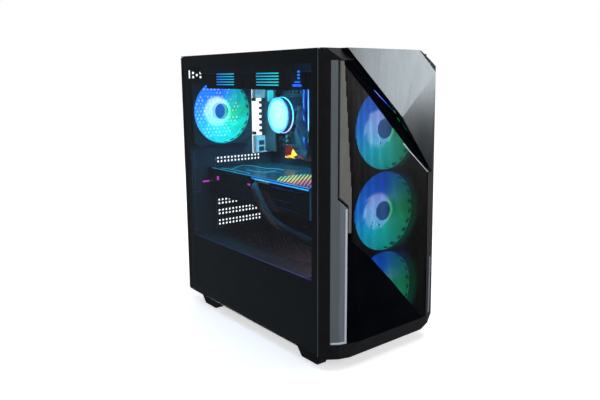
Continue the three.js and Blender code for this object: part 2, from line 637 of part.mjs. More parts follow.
// ---------------------------------------------------------------- buttons and sockets on top
const IO_FACE = HEIGHT - 0.4;
const USB = { width: 12.6, height: 5.2, depth: 10 };
const usbX = [IO_BLOCK.x[0] + 66, IO_BLOCK.x[0] + 84];
const JACK_X = IO_BLOCK.x[0] + 52;
function ioBlock() {
  const body = block(
    IO_BLOCK.x.map((v, i) => v + (i ? -GAP : GAP)),
    IO_BLOCK.y.map((v, i) => v + (i ? -GAP : GAP)),
    [HEIGHT - 16, IO_FACE],
  );
  const wells = [POWER, RESET].map(([x, y]) =>
    rod([x, y, IO_FACE - 7], [x, y, HEIGHT + 1], BUTTON / 2 + 0.5, 24),
  );
  const sockets = usbX.map((x) =>
    block(
      [x, x + USB.height],
      [IO_MID_Y - USB.width / 2, IO_MID_Y + USB.width / 2],
      [IO_FACE - USB.depth, HEIGHT + 1],
    ),
  );
  const jack = rod([JACK_X, IO_MID_Y, IO_FACE - 9], [JACK_X, IO_MID_Y, HEIGHT + 1], 1.9, 12);
  return cut(body, ...wells, ...sockets, jack);
}
add("io_block", ioBlock(), mattePlastic);

const button = ([x, y], radius) =>
  join(
    rod([x, y, IO_FACE - 7 + BUTTON_TRAVEL + 1], [x, y, IO_FACE - 0.8], radius, 24),
    rod([x, y, IO_FACE - 1], [x, y, HEIGHT - 0.1], radius, 24, radius - 0.6),
  );
add("power_button", button(POWER, BUTTON / 2), glossPlastic);
add("reset_button", button(RESET, BUTTON / 2 - 3), mattePlastic);

// ---------------------------------------------------------------- power supply and drives
const PSU_FAN = { bore: 128, hub: 42 };
const PSU_MID = [(PSU_X[0] + PSU_X[1]) / 2, (PSU_Y[0] + PSU_Y[1]) / 2];
const INLET = { x: [PSU_X[0] + 14, PSU_X[0] + 46], z: [PSU_Z[1] - 36, PSU_Z[1] - 12] };
const SWITCH = { x: [PSU_X[0] + 54, PSU_X[0] + 70], z: INLET.z };
const SWITCH_MID = [(SWITCH.x[0] + SWITCH.x[1]) / 2, (SWITCH.z[0] + SWITCH.z[1]) / 2];
function psuCase() {
  const outer = block(PSU_X, PSU_Y, PSU_Z);
  const hollow = block(
    PSU_X.map((v, i) => v + (i ? -STEEL : STEEL)),
    PSU_Y.map((v, i) => v + (i ? -STEEL : STEEL)),
    [PSU_Z[0] + STEEL, PSU_Z[1] - STEEL],
  );
  const intake = rod([...PSU_MID, PSU_Z[0] - 1], [...PSU_MID, PSU_Z[0] + 4], PSU_FAN.bore / 2);
  const window = ({ x, z }) => block(x, [PSU_Y[1] - 4, PSU_Y[1] + 1], z);
  const leads = block(
    [PSU_X[0] + 90, PSU_X[1] - 14],
    [PSU_Y[0] - 1, PSU_Y[0] + 4],
    [PSU_Z[0] + 31, PSU_Z[0] + 61],
  );
  const bridge = block(
    [PSU_MID[0] - 4, PSU_MID[0] + 4],
    PSU_Y.map((v, i) => v + (i ? -0.5 : 0.5)),
    [PSU_Z[0] + 22, PSU_Z[0] + 25],
  );
  const bearing = rod(
    [...PSU_MID, PSU_Z[0] + 21],
    [...PSU_MID, PSU_Z[0] + 26],
    SHAFT / 2 + SHAFT_GAP + 0.1,
    12,
  );
  return cut(
    join(cut(outer, hollow, intake, window(INLET), window(SWITCH), leads), bridge),
    bearing,
  );
}
add("psu_case", psuCase(), paintedSteel);
add(
  "psu_impeller",
  impeller(PSU_FAN.bore, PSU_FAN.hub, 20, 9).translate([...PSU_MID, PSU_Z[0] + 1]),
  fanPlastic,
);
const INLET_WALL = 2.5;
add(
  "psu_power_inlet",
  cut(
    block(
      INLET.x.map((v, i) => v + (i ? -GAP : GAP)),
      [PSU_Y[1] - 22, REAR_Y + 2],
      INLET.z.map((v, i) => v + (i ? -GAP : GAP)),
    ),
    block(
      INLET.x.map((v, i) => v + (i ? -INLET_WALL : INLET_WALL)),
      [PSU_Y[1] - 17, REAR_Y + 3],
      INLET.z.map((v, i) => v + (i ? -INLET_WALL : INLET_WALL)),
    ),
  ),
  mattePlastic,
);
const rocker = [
  [-8, -7], [8, -7], [8.6, 1.2], [0, 0], [-8.6, 3.4],
];
add(
  "psu_switch",
  prism(
    rocker.map(([v, w]) => [REAR_Y - 1.4 + w * 0.9, SWITCH_MID[1] + v]),
    "x",
    SWITCH.x.map((v, i) => v + (i ? -1 : 1)),
  ),
  mattePlastic,
);

const CAGE = {
  x: [30, TRAY_X - 23],
  y: [TRAY_Y[0] + 23.4, TRAY_Y[0] + 165.4],
  z: [6, SHROUD_HEIGHT - 15],
};
function driveCage() {
  const outer = block(CAGE.x, CAGE.y, CAGE.z);
  const inner = block(
    [CAGE.x[0] + STEEL, CAGE.x[1] + 1],
    CAGE.y.map((v, i) => v + (i ? -STEEL : STEEL)),
    [CAGE.z[0] + STEEL, CAGE.z[1] - STEEL],
  );
  const middle = (CAGE.z[0] + CAGE.z[1]) / 2;
  const ledges = [CAGE.y[0] + 0.5, CAGE.y[1] - 6.5].map((y) =>
    block([CAGE.x[0] + 0.5, CAGE.x[1]], [y, y + 6], [middle - STEEL / 2, middle + STEEL / 2]),
  );
  return join(cut(outer, inner), ...ledges);
}
add("drive_cage", driveCage(), paintedSteel);

// ---------------------------------------------------------------- board, cooling and graphics card
const PORT_LIP = 2; // how far the sockets stand out of the rear panel
function motherboard() {
  const sheet = block([BOARD_FACE, BOARD_X], [REAR_Y - BOARD_WIDTH, REAR_Y - GAP], BOARD_Z);
  const onBoard = ([h0, h1], y, z) => block([BOARD_FACE - h1, BOARD_FACE - h0 + 0.5], y, z);
  const slots = [CARD_SLOT, 5, 7].map((n) => {
    const z = slotZ(n) - 10;
    const y = [REAR_Y - 150, REAR_Y - 60];
    return onBoard([0, n === CARD_SLOT ? 7 : 11], y, [z - 3.5, z + 3.5]);
  });
  const ports = [0, 1, 2, 3].map((n) => {
    const z = IO_Z[1] - 14 - n * 38;
    const shape = onBoard([0, 17], [REAR_Y - 24, REAR_Y + PORT_LIP], [z - 15, z]);
    const socket = onBoard([2.5, 15], [REAR_Y - 12, REAR_Y + PORT_LIP + 1], [z - 13, z - 2]);
    return cut(shape, socket);
  });
  const boardFront = REAR_Y - BOARD_WIDTH;
  const power = onBoard([0, 13], [boardFront, boardFront + 10], [BOARD_Z[0] + 164, BOARD_Z[0] + 216]);
  return join(sheet, ...slots, ...ports, power);
}
add("motherboard", motherboard(), boardLaminate);
add(
  "io_cover",
  block([BOARD_FACE - 34, BOARD_FACE - 17.5], [REAR_Y - 46, REAR_Y - GAP], [IO_Z[0] + 4, IO_Z[1] - 4]),
  mattePlastic,
);

function finned([x0, x1], [y0, y1], [z0, z1], fins, alongZ) {
  const base = block([(x0 + x1) / 2, x1], [y0, y1], [z0, z1]);
  const span = alongZ ? y1 - y0 : z1 - z0;
  const bars = Array.from({ length: fins }, (_, n) => {
    const a = (alongZ ? y0 : z0) + (span * (n + 0.25)) / fins;
    const b = a + span / fins / 2;
    const reach = [x0, (x0 + x1) / 2 + 1];
    return alongZ ? block(reach, [a, b], [z0, z1]) : block(reach, [y0, y1], [a, b]);
  });
  return join(base, ...bars);
}
const vrmZ = [BOARD_Z[1] - 34, BOARD_Z[1] - 8];
add(
  "vrm_heatsink",
  finned([BOARD_FACE - 26, BOARD_FACE - GAP], [CPU[1] - 46, CPU[1] + 48], vrmZ, 7, true),
  bareAluminium,
);
add(
  "m2_heatsink",
  finned(
    [BOARD_FACE - 15, BOARD_FACE - GAP],
    [CPU[1] - 62, CPU[1] + 30],
    [CPU[2] - 84, CPU[2] - 58],
    4,
    false,
  ),
  bareAluminium,
);
const MEMORY = { reach: 44, thick: 7.5, z: [BOARD_Z[1] - 148, BOARD_Z[1] - 14] };
const memoryY = CPU[1] - 81;
add(
  "memory_module",
  block([BOARD_FACE - MEMORY.reach, BOARD_FACE - GAP], [memoryY, memoryY + MEMORY.thick], MEMORY.z),
  litPlastic,
);

const radiatorY = [RADIATOR_MID_Y - RADIATOR[1] / 2, RADIATOR_MID_Y + RADIATOR[1] / 2];
add(
  "radiator",
  block(
    [TOP_FAN_X - RADIATOR[0] / 2, TOP_FAN_X + RADIATOR[0] / 2],
    radiatorY,
    [ROOF_Z - GAP - RADIATOR[2], ROOF_Z - GAP],
  ),
  bareAluminium,
);
const pumpFace = BOARD_FACE - PUMP_HEIGHT;
function pumpBody() {
  const [plateY, plateZ] = [CPU[1], CPU[2]].map((v) => [v - 38, v + 38]);
  const plate = block([BOARD_FACE - 9, BOARD_FACE - 1], plateY, plateZ);
  const can = rod([pumpFace + 5, CPU[1], CPU[2]], [BOARD_FACE - 4, CPU[1], CPU[2]], PUMP / 2);
  const ports = [-1, 1].map((side) =>
    rod(
      [pumpFace + 20, CPU[1] - 20, CPU[2] + side * 11],
      [pumpFace + 20, CPU[1] - PUMP / 2 - 6, CPU[2] + side * 11],
      7.5,
      12,
    ),
  );
  return join(plate, can, ...ports);
}
add("pump_body", pumpBody(), mattePlastic);
add(
  "pump_cap",
  join(
    rod([pumpFace, CPU[1], CPU[2]], [pumpFace + 2, CPU[1], CPU[2]], PUMP / 2, 24, PUMP / 2),
    rod([pumpFace + 2, CPU[1], CPU[2]], [pumpFace + 5 - GAP, CPU[1], CPU[2]], PUMP / 2, 24),
  ),
  litPlastic,
);

// Coolant hoses: from the pump's two ports forwards and up into the radiator's front tank.
const TANK_Y = radiatorY[0] + 9;
const TANK_Z = ROOF_Z - GAP - RADIATOR[2] - GAP;
const PORT_Y = CPU[1] - PUMP / 2 - 6 - GAP;
const hoseRoutes = [
  [
    [pumpFace + 20, PORT_Y, CPU[2] + 11], [pumpFace + 20, PORT_Y - 8, CPU[2] + 11],
    [pumpFace + 14, CPU[1] - 52, CPU[2] + 9],
    [pumpFace - 14, CPU[1] - 82, CPU[2] - 2], [112, 164, 302], [104, 118, 302], [98, 88, 330],
    [96, TANK_Y, 370], [96, TANK_Y, TANK_Z],
  ],
  [
    [pumpFace + 20, PORT_Y, CPU[2] - 11], [pumpFace + 20, PORT_Y - 8, CPU[2] - 11],
    [pumpFace + 13, CPU[1] - 50, CPU[2] - 15],
    [pumpFace - 18, CPU[1] - 82, CPU[2] - 28], [100, 156, 272], [74, 108, 276], [60, 84, 318],
    [56, TANK_Y, 366], [56, TANK_Y, TANK_Z],
  ],
];
const circle = (radius, sides) =>
  new THREE.Shape(
    Array.from({ length: sides }, (_, n) => {
      const a = (2 * Math.PI * n) / sides;
      return new THREE.Vector2(radius * Math.cos(a), radius * Math.sin(a));
    }),
  );
const tube = (points, radius, sides, steps) => {
  const path = new THREE.CatmullRomCurve3(points.map((p) => new THREE.Vector3(...p)));
  const made = new THREE.ExtrudeGeometry(circle(radius, sides), { steps, extrudePath: path });
  return solid(made);
};
hoseRoutes.forEach((route, n) => add(`coolant_hose_${n + 1}`, tube(route, HOSE / 2, 10, 18), rubber));

// The graphics card hangs level from its slot: backplate on top, cooler and fans below.
const CARD_X = [BOARD_FACE - 8 - CARD[0], BOARD_FACE - 8];
const CARD_Y = [REAR_Y - GAP - CARD[1], REAR_Y - GAP];
const CARD_TOP = slotZ(CARD_SLOT) + 8;
const CARD_BOARD_Z = CARD_TOP - 5;
const CARD_LOW = CARD_TOP - CARD[2];
const CARD_FAN = { bore: 92, hub: 34, depth: 16 };
const cardFanY = [0, 1].map((n) => CARD_Y[0] + 52 + n * 102);
const cardMidX = (CARD_X[0] + CARD_X[1]) / 2 - 4;
add("gpu_backplate", block(CARD_X, CARD_Y, [CARD_BOARD_Z + GAP, CARD_TOP]), mattePlastic);
function gpuCooler() {
  const body = block(CARD_X, CARD_Y, [CARD_LOW, CARD_BOARD_Z]);
  const wells = cardFanY.map((y) =>
    rod([cardMidX, y, CARD_LOW - 1], [cardMidX, y, CARD_LOW + CARD_FAN.depth + 3], CARD_FAN.bore / 2),
  );
  const bearings = cardFanY.map((y) =>
    rod(
      [cardMidX, y, CARD_LOW + 10],
      [cardMidX, y, CARD_LOW + CARD_FAN.depth + 9],
      SHAFT / 2 + SHAFT_GAP + 0.1,
      12,
    ),
  );
  const connector = block(
    [CARD_X[0] - 1, CARD_X[0] + 9],
    [CARD_Y[0] + 120, CARD_Y[0] + 162],
    [CARD_BOARD_Z - 16, CARD_BOARD_Z + 1],
  );
  return cut(body, ...wells, ...bearings, connector);
}
add("gpu_cooler", gpuCooler(), glossPlastic);
cardFanY.forEach((y, n) =>
  add(
    `gpu_impeller_${n + 1}`,
    impeller(CARD_FAN.bore, CARD_FAN.hub, CARD_FAN.depth, 9).translate([cardMidX, y, CARD_LOW]),
    fanPlastic,
  ),
);
const VIDEO = [15, 5];
add(
  "gpu_bracket",
  cut(
    block(
      [SLOT_X[0] - 4, SLOT_X[1] + 4],
      [REAR_Y + STEEL + GAP, DEPTH - 2],
      [slotZ(OPEN_SLOTS[2]) - 8, slotZ(OPEN_SLOTS[0]) + 8],
    ),
    ...[0, 1, 2].map((n) => {
      const x = SLOT_X[1] - 26 - n * 24;
      const z = slotZ(2);
      return block([x, x + VIDEO[0]], [REAR_Y - 3, DEPTH], [z - VIDEO[1] / 2, z + VIDEO[1] / 2]);
    }),
  ),
  bareSteel,
);

const LEAD = 7;
const gpuLead = [
  [CARD_X[0] + 6, CARD_Y[0] + 141, CARD_BOARD_Z - 8], [CARD_X[0] - 4, CARD_Y[0] + 139, CARD_BOARD_Z - 9],
  [CARD_X[0] - 17, CARD_Y[0] + 118, CARD_BOARD_Z - 16], [CARD_X[0] - 20, CARD_Y[0] + 70, CARD_LOW - 8],
  [CARD_X[0] - 2, CARD_Y[0] + 12, CARD_LOW - 30], [74, 68, SHROUD_HEIGHT + 26], [78, 67, SHROUD_HEIGHT - 12],
];
add("gpu_power_cable", tube(gpuLead, LEAD, 8, 22), rubber);

export default tower;
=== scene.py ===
import bmesh
import bpy
import numpy as np
from mathutils import Matrix, Vector
from mathutils.geometry import delaunay_2d_cdt


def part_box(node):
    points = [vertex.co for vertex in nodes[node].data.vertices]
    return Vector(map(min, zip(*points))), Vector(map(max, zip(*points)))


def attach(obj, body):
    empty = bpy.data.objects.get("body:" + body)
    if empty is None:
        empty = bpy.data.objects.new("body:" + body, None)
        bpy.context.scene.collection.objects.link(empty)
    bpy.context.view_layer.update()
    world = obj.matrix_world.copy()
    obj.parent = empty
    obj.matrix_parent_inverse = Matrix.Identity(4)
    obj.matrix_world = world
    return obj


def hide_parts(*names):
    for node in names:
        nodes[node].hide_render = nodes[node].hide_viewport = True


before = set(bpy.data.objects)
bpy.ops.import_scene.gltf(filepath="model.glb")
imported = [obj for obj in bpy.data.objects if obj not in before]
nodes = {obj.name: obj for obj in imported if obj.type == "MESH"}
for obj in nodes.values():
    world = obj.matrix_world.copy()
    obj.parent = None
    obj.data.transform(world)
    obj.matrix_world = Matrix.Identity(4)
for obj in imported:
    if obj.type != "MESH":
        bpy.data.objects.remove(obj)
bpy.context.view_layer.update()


# ---------------------------------------------------------------- camera, floor and studio light
# The tower stands on a plain pale floor. A tall soft box stands to the right of its front, a wide
# one hangs overhead and a weak one fills in from the left; what is behind the floor is white.
eye = Vector((-0.64378, -0.83281, 0.41222))
azimuth, elevation, roll = np.radians([-37.46, 10.98, -0.29])
back = Vector((np.sin(azimuth) * np.cos(elevation), -np.cos(azimuth) * np.cos(elevation),
               np.sin(elevation)))
level = Vector((0, 0, 1)).cross(back).normalized()
upright = back.cross(level)
right = level * np.cos(roll) + upright * np.sin(roll)
up = upright * np.cos(roll) - level * np.sin(roll)
lens = bpy.data.cameras.new("camera")
lens.lens = 37.664
lens.clip_start = 0.01
camera = bpy.data.objects.new("camera", lens)
camera.matrix_world = Matrix.Translation(eye) @ Matrix((right, up, back)).transposed().to_4x4()
bpy.context.collection.objects.link(camera)
scene = bpy.context.scene
scene.camera = camera
scene.view_settings.view_transform = "Standard"


def soft_box(name, place, target, size, power, colour=(1, 1, 1), spread=180):
    """A rectangular lamp at one point, turned to face another."""
    lamp = bpy.data.lights.new(name, "AREA")
    lamp.shape = "RECTANGLE"
    lamp.size, lamp.size_y = size
    lamp.energy = power
    lamp.color = colour
    lamp.spread = np.radians(spread)
    holder = bpy.data.objects.new(name, lamp)
    holder.location = place
    aim = Vector(target) - Vector(place)
    holder.rotation_euler = aim.to_track_quat("-Z", "Y").to_euler()
    holder.visible_camera = False
    bpy.context.collection.objects.link(holder)
    return holder


soft_box("front_right_box", (1.36, -1.20, 0.57), (0.36, 0.05, 0.34), (0.7, 0.62), 15)
soft_box("overhead_box", (0.1, -0.2, 1.9), (0, 0, 0.2), (1.6, 1.6), 20)
soft_box("left_fill_box", (-1.7, -0.7, 1.3), (0, -0.1, 0.25), (0.7, 0.9), 7).visible_glossy = False
soft_box("back_fill_box", (0.5, 1.8, 1.0), (0, 0.1, 0.25), (1.2, 0.9), 14).visible_glossy = False

surround = bpy.data.worlds.new("surround")
surround.use_nodes = True
sky = surround.node_tree
sky.nodes.clear()
path = sky.nodes.new("ShaderNodeLightPath")
straight = sky.nodes.new("ShaderNodeMath")
straight.operation = "LESS_THAN"
sky.links.new(path.outputs["Ray Depth"], straight.inputs[0])
straight.inputs[1].default_value = 3.5
through = sky.nodes.new("ShaderNodeMath")
through.operation = "MULTIPLY"
sky.links.new(path.outputs["Is Transmission Ray"], through.inputs[0])
sky.links.new(straight.outputs[0], through.inputs[1])
seen = sky.nodes.new("ShaderNodeMath")
seen.operation = "MAXIMUM"
sky.links.new(path.outputs["Is Camera Ray"], seen.inputs[0])
sky.links.new(through.outputs[0], seen.inputs[1])
strength = sky.nodes.new("ShaderNodeMath")
strength.operation = "MULTIPLY_ADD"
sky.links.new(through.outputs[0], strength.inputs[0])
strength.inputs[1].default_value = 1.3
strength.inputs[2].default_value = 1.0
soft = sky.nodes.new("ShaderNodeBackground")
soft.inputs["Color"].default_value = (0.80, 0.88, 1.0, 1)
soft.inputs["Strength"].default_value = 0.10
white = sky.nodes.new("ShaderNodeBackground")
white.inputs["Color"].default_value = (1, 1, 1, 1)
sky.links.new(strength.outputs[0], white.inputs["Strength"])
either = sky.nodes.new("ShaderNodeMixShader")
sky.links.new(seen.outputs[0], either.inputs[0])
sky.links.new(soft.outputs[0], either.inputs[1])
sky.links.new(white.outputs[0], either.inputs[2])
sky.links.new(either.outputs[0], sky.nodes.new("ShaderNodeOutputWorld").inputs["Surface"])
scene.world = surround


def join_socket(tree, source, target):
    """Leads an output to an input, or sets the input where the source is a plain value."""
    if isinstance(source, bpy.types.NodeSocket):
        tree.links.new(source, target)
    else:
        target.default_value = source


def node(tree, kind, inputs=(), **settings):
    """Adds a shader node, sets its properties and fills its inputs by name or number."""
    made = tree.nodes.new("ShaderNode" + kind)
    for key, value in settings.items():
        setattr(made, key, value)
    for key, value in dict(inputs).items():
        join_socket(tree, value, made.inputs[key])
    return made


def new_group(name, inputs, outputs):
    """An empty node group with named sockets; returns its tree, its input node and its output node."""
    tree = bpy.data.node_groups.new(name, "ShaderNodeTree")
    for direction, sockets in (("INPUT", inputs), ("OUTPUT", outputs)):
        for label, kind in sockets.items():
            tree.interface.new_socket(name=label, in_out=direction, socket_type="NodeSocket" + kind)
    return tree, tree.nodes.new("NodeGroupInput"), tree.nodes.new("NodeGroupOutput")


def make_grain():
    """Fine noise mixes two colours and lifts the surface; broad noise varies the roughness."""
    tree, given, out = new_group(
        "surface_grain", {"Vector": "Vector", "Scale": "Float", "Colour A": "Color", "Colour B": "Color",
                          "Rough Low": "Float", "Rough High": "Float", "Relief": "Float"},
        {"Color": "Color", "Roughness": "Float", "Normal": "Vector"},
    )
    fine = node(tree, "TexNoise",
                {"Vector": given.outputs["Vector"], "Scale": given.outputs["Scale"], "Detail": 3})
    wider = node(tree, "Math", {0: given.outputs["Scale"], 1: 0.03}, operation="MULTIPLY")
    broad = node(tree, "TexNoise",
                 {"Vector": given.outputs["Vector"], "Scale": wider.outputs[0], "Detail": 2})
    both = node(tree, "Math", {0: fine.outputs[0], 1: broad.outputs[0]}, operation="ADD")
    share = node(tree, "MapRange", {0: both.outputs[0], 1: 0.7, 2: 1.3})
    tint = node(tree, "Mix",
                {0: share.outputs[0], 6: given.outputs["Colour A"], 7: given.outputs["Colour B"]},
                data_type="RGBA")
    rough = node(tree, "MapRange", {0: both.outputs[0], 1: 0.7, 2: 1.3, 3: given.outputs["Rough Low"],
                                    4: given.outputs["Rough High"]})
    lift = node(tree, "Bump",
                {"Strength": 1.0, "Distance": given.outputs["Relief"], "Height": fine.outputs[0]})
    tree.links.new(tint.outputs[2], out.inputs["Color"])
    tree.links.new(rough.outputs[0], out.inputs["Roughness"])
    tree.links.new(lift.outputs[0], out.inputs["Normal"])
    return tree


grain = make_grain()


def finish(name, dark, light, scale, rough, relief=0.0, metallic=0.0, stretch=(1, 1, 1), **sockets):
    """A grained finish: two colours, noise cells per metre, a roughness range and relief in metres."""
    made = bpy.data.materials.new(name)
    made.use_nodes = True
    tree = made.node_tree
    shader = tree.nodes["Principled BSDF"]
    where = node(tree, "TexCoord")
    turned = node(tree, "Mapping", {"Vector": where.outputs["Object"], "Scale": stretch})
    use = node(tree, "Group", node_tree=grain)
    for key, value in {"Vector": turned.outputs[0], "Scale": scale, "Colour A": (*dark, 1),
                       "Colour B": (*light, 1),
                       "Rough Low": rough[0], "Rough High": rough[1], "Relief": relief}.items():
        join_socket(tree, value, use.inputs[key])
    tree.links.new(use.outputs["Color"], shader.inputs["Base Color"])
    tree.links.new(use.outputs["Roughness"], shader.inputs["Roughness"])
    if relief:
        tree.links.new(use.outputs["Normal"], shader.inputs["Normal"])
    shader.inputs["Metallic"].default_value = metallic
    for key, value in sockets.items():
        shader.inputs[key.replace("_", " ")].default_value = value
    return made


def object_from(name, points, faces, material, smooth=None):
    """A mesh object at the origin, its doubles merged and its faces turned outwards."""
    mesh = bpy.data.meshes.new(name)
    mesh.from_pydata(np.asarray(points, float).reshape(-1, 3).tolist(), [], faces)
    shape = bmesh.new()
    shape.from_mesh(mesh)
    bmesh.ops.remove_doubles(shape, verts=shape.verts, dist=1e-6)
    bmesh.ops.recalc_face_normals(shape, faces=shape.faces)
    shape.to_mesh(mesh)
    shape.free()
    if smooth:
        mesh.polygons.foreach_set("use_smooth", np.ones(len(mesh.polygons), bool))
        mesh.set_sharp_from_angle(angle=np.radians(smooth))
    mesh.materials.append(material)
    made = bpy.data.objects.new(name, mesh)
    bpy.context.collection.objects.link(made)
    return made


floor_finish = finish("pale_floor", (0.80, 0.80, 0.81), (0.84, 0.84, 0.84), 40, (0.75, 0.85),
                      Emission_Color=(1, 1, 1, 1))
tree = floor_finish.node_tree
where = node(tree, "TexCoord")
reach = node(tree, "VectorMath", {0: where.outputs["Object"]}, operation="LENGTH")
fade = node(tree, "MapRange", {0: reach.outputs["Value"], 1: 0.6, 2: 3.0, 3: 0.60, 4: 1.05})
tree.links.new(fade.outputs[0], tree.nodes["Principled BSDF"].inputs["Emission Strength"])
u, v = np.meshgrid(np.linspace(-9, 9, 13), np.linspace(-9, 9, 13), indexing="ij")
i, j = np.mgrid[0:12, 0:12]
corner = (i * 13 + j).ravel()
floor = object_from("floor", np.stack([u, v, u * 0], -1),
                    np.stack([corner, corner + 13, corner + 14, corner + 1], -1).tolist(), floor_finish)
floor.visible_glossy = False
floor.visible_diffuse = False
floor.visible_transmission = False


# ---------------------------------------------------------------- steel chassis
# Folded steel sheet, powder-coated black with a fine orange-peel grain, riveted and screwed into
# one box: floor, roof, tray, front wall, power supply shroud and cage, and the right side panel.
glass_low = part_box("glass_pane")[0]
CORNER = np.array([glass_low.x, glass_low.y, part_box("bottom_plate")[0].z])


def at(points):
    """Drawing millimetres, from the glass, its front edge and the body's underside, to the row's metres."""
    return CORNER + np.asarray(points, float) * 0.001


def dress(name, material, edge=0.0):
    """Gives a node of the frame its finish, and a small rounded edge where the real one has one."""
    piece = nodes[name]
    piece.data.materials.clear()
    piece.data.materials.append(material)
    if edge:
        weld = piece.modifiers.new("weld", "WELD")
        weld.merge_threshold = 1e-5
        round_off = piece.modifiers.new("edges", "BEVEL")
        round_off.width = edge * 0.001
        round_off.segments = 2
        round_off.limit_method = "ANGLE"
        round_off.angle_limit = np.radians(25)
    return piece


powder_coat = finish("powder_coat", (0.012, 0.012, 0.014), (0.022, 0.022, 0.025), 1800, (0.42, 0.62),
                     0.00004)
for name in ("bottom_plate", "motherboard_tray", "front_wall", "psu_shroud", "drive_cage", "psu_case"):
    dress(name, powder_coat)
dress("top_plate", powder_coat, 0.4)
dress("right_panel", powder_coat, 0.3)


def loft(rings):
    """Closed rings of points, each joined to the next, with both ends shut: rings is (n, m, 3)."""
    rings = np.asarray(rings, float)
    n, m = rings.shape[:2]
    i, j = np.mgrid[0:n - 1, 0:m]
    a, b = i * m + j, i * m + (j + 1) % m
    sides = np.stack([a, b, b + m, a + m], -1).reshape(-1, 4).tolist()
    return rings.reshape(-1, 3), sides + [list(range(m))[::-1], list(range((n - 1) * m, n * m))]


def block(x, y, z, edge=0.5):
    """A block from its ranges, its edges cut off: four eight-sided rings, the end ones drawn in."""
    spans = np.array([x, y, z], float)
    lo, hi = spans.min(1), spans.max(1)
    e = min(edge, 0.3 * (hi - lo).min())
    mid, half = (lo + hi) / 2, (hi - lo) / 2
    sx = np.array([-1, 1, 1, 1, 1, -1, -1, -1]) * half[0] + np.array([1, -1, 0, 0, -1, 1, 0, 0]) * e
    sy = np.array([-1, -1, -1, 1, 1, 1, 1, -1]) * half[1] + np.array([0, 0, 1, -1, 0, 0, -1, 1]) * e
    shrink = np.array([e, 0, 0, e])[:, None]
    level = np.array([-half[2], e - half[2], half[2] - e, half[2]])[:, None] + np.zeros(8)
    ring = np.stack([sx - np.sign(sx) * shrink, sy - np.sign(sy) * shrink, level], -1)
    return loft(ring + mid)


def turned(profile, centre, axis=(0, 0, 1), sides=20):
    """A profile of (distance along the axis, radius) turned round the axis through the centre."""
    along = np.array(Vector(axis).normalized())
    other = np.array(Vector(axis).orthogonal().normalized())
    third = np.cross(along, other)
    a = np.arange(sides) * 2 * np.pi / sides
    circle = np.cos(a)[:, None] * other + np.sin(a)[:, None] * third
    t, r = np.array(profile, float).T
    return loft(np.asarray(centre, float) + t[:, None, None] * along + r[:, None, None] * circle)


def smooth_line(points, count):
    """A Catmull-Rom line through the points, cut into even steps."""
    p = np.asarray(points, float)
    p = np.vstack([2 * p[0] - p[1], p, 2 * p[-1] - p[-2]])
    t = np.linspace(0, 1, 24, endpoint=False)[:, None]
    spans = [
        0.5 * (2 * b + (c - a) * t + (2 * a - 5 * b + 4 * c - d) * t**2 + (3 * b - a - 3 * c + d) * t**3)
        for a, b, c, d in zip(p[:-3], p[1:-2], p[2:-1], p[3:])
    ]
    fine = np.vstack([*spans, p[-2:-1]])
    run = np.concatenate([[0], np.cumsum(np.linalg.norm(np.diff(fine, axis=0), axis=1))])
    even = np.linspace(0, run[-1], count)
    return np.stack([np.interp(even, run, fine[:, k]) for k in range(3)], -1)


def swept(points, radius, sides=10, count=40):
    """A round section carried along a smooth line; radius may be one number or one for each step."""
    line = smooth_line(points, count)
    ahead = np.gradient(line, axis=0)
    ahead /= np.linalg.norm(ahead, axis=1)[:, None]
    side = np.zeros_like(ahead)
    side[0] = np.array(Vector(ahead[0]).orthogonal().normalized())
    for k in range(1, count):
        flat = side[k - 1] - ahead[k] * (side[k - 1] @ ahead[k])
        side[k] = flat / np.linalg.norm(flat)
    other = np.cross(ahead, side)
    a = np.arange(sides) * 2 * np.pi / sides
    r = (np.zeros(count) + radius)[:, None, None]
    ring = np.cos(a)[None, :, None] * side[:, None] + np.sin(a)[None, :, None] * other[:, None]
    return loft(line[:, None] + r * ring)


def assemble(name, parts, material, body="chassis", stands_for=(), smooth=35):
    """Puts drawn parts, in drawing millimetres, into one piece that rides on a body."""
    points, faces, base = [], [], 0
    for part_points, part_faces in parts:
        points.append(part_points)
        faces += [[base + k for k in face] for face in part_faces]
        base += len(part_points)
    piece = object_from(name, at(np.vstack(points)), faces, material, smooth)
    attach(piece, body)
    if stands_for:
        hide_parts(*stands_for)
    return piece


def outline_circle(centre, radius, sides):
    """Points round a circle, as (across, up)."""
    a = (np.arange(sides) + 0.5) * 2 * np.pi / sides
    return np.stack([centre[0] + radius * np.cos(a), centre[1] + radius * np.sin(a)], -1)


def outline_box(across, upward):
    """The four corners of an upright rectangle."""
    return np.array([(across[0], upward[0]), (across[1], upward[0]), (across[1], upward[1]),
                     (across[0], upward[1])])


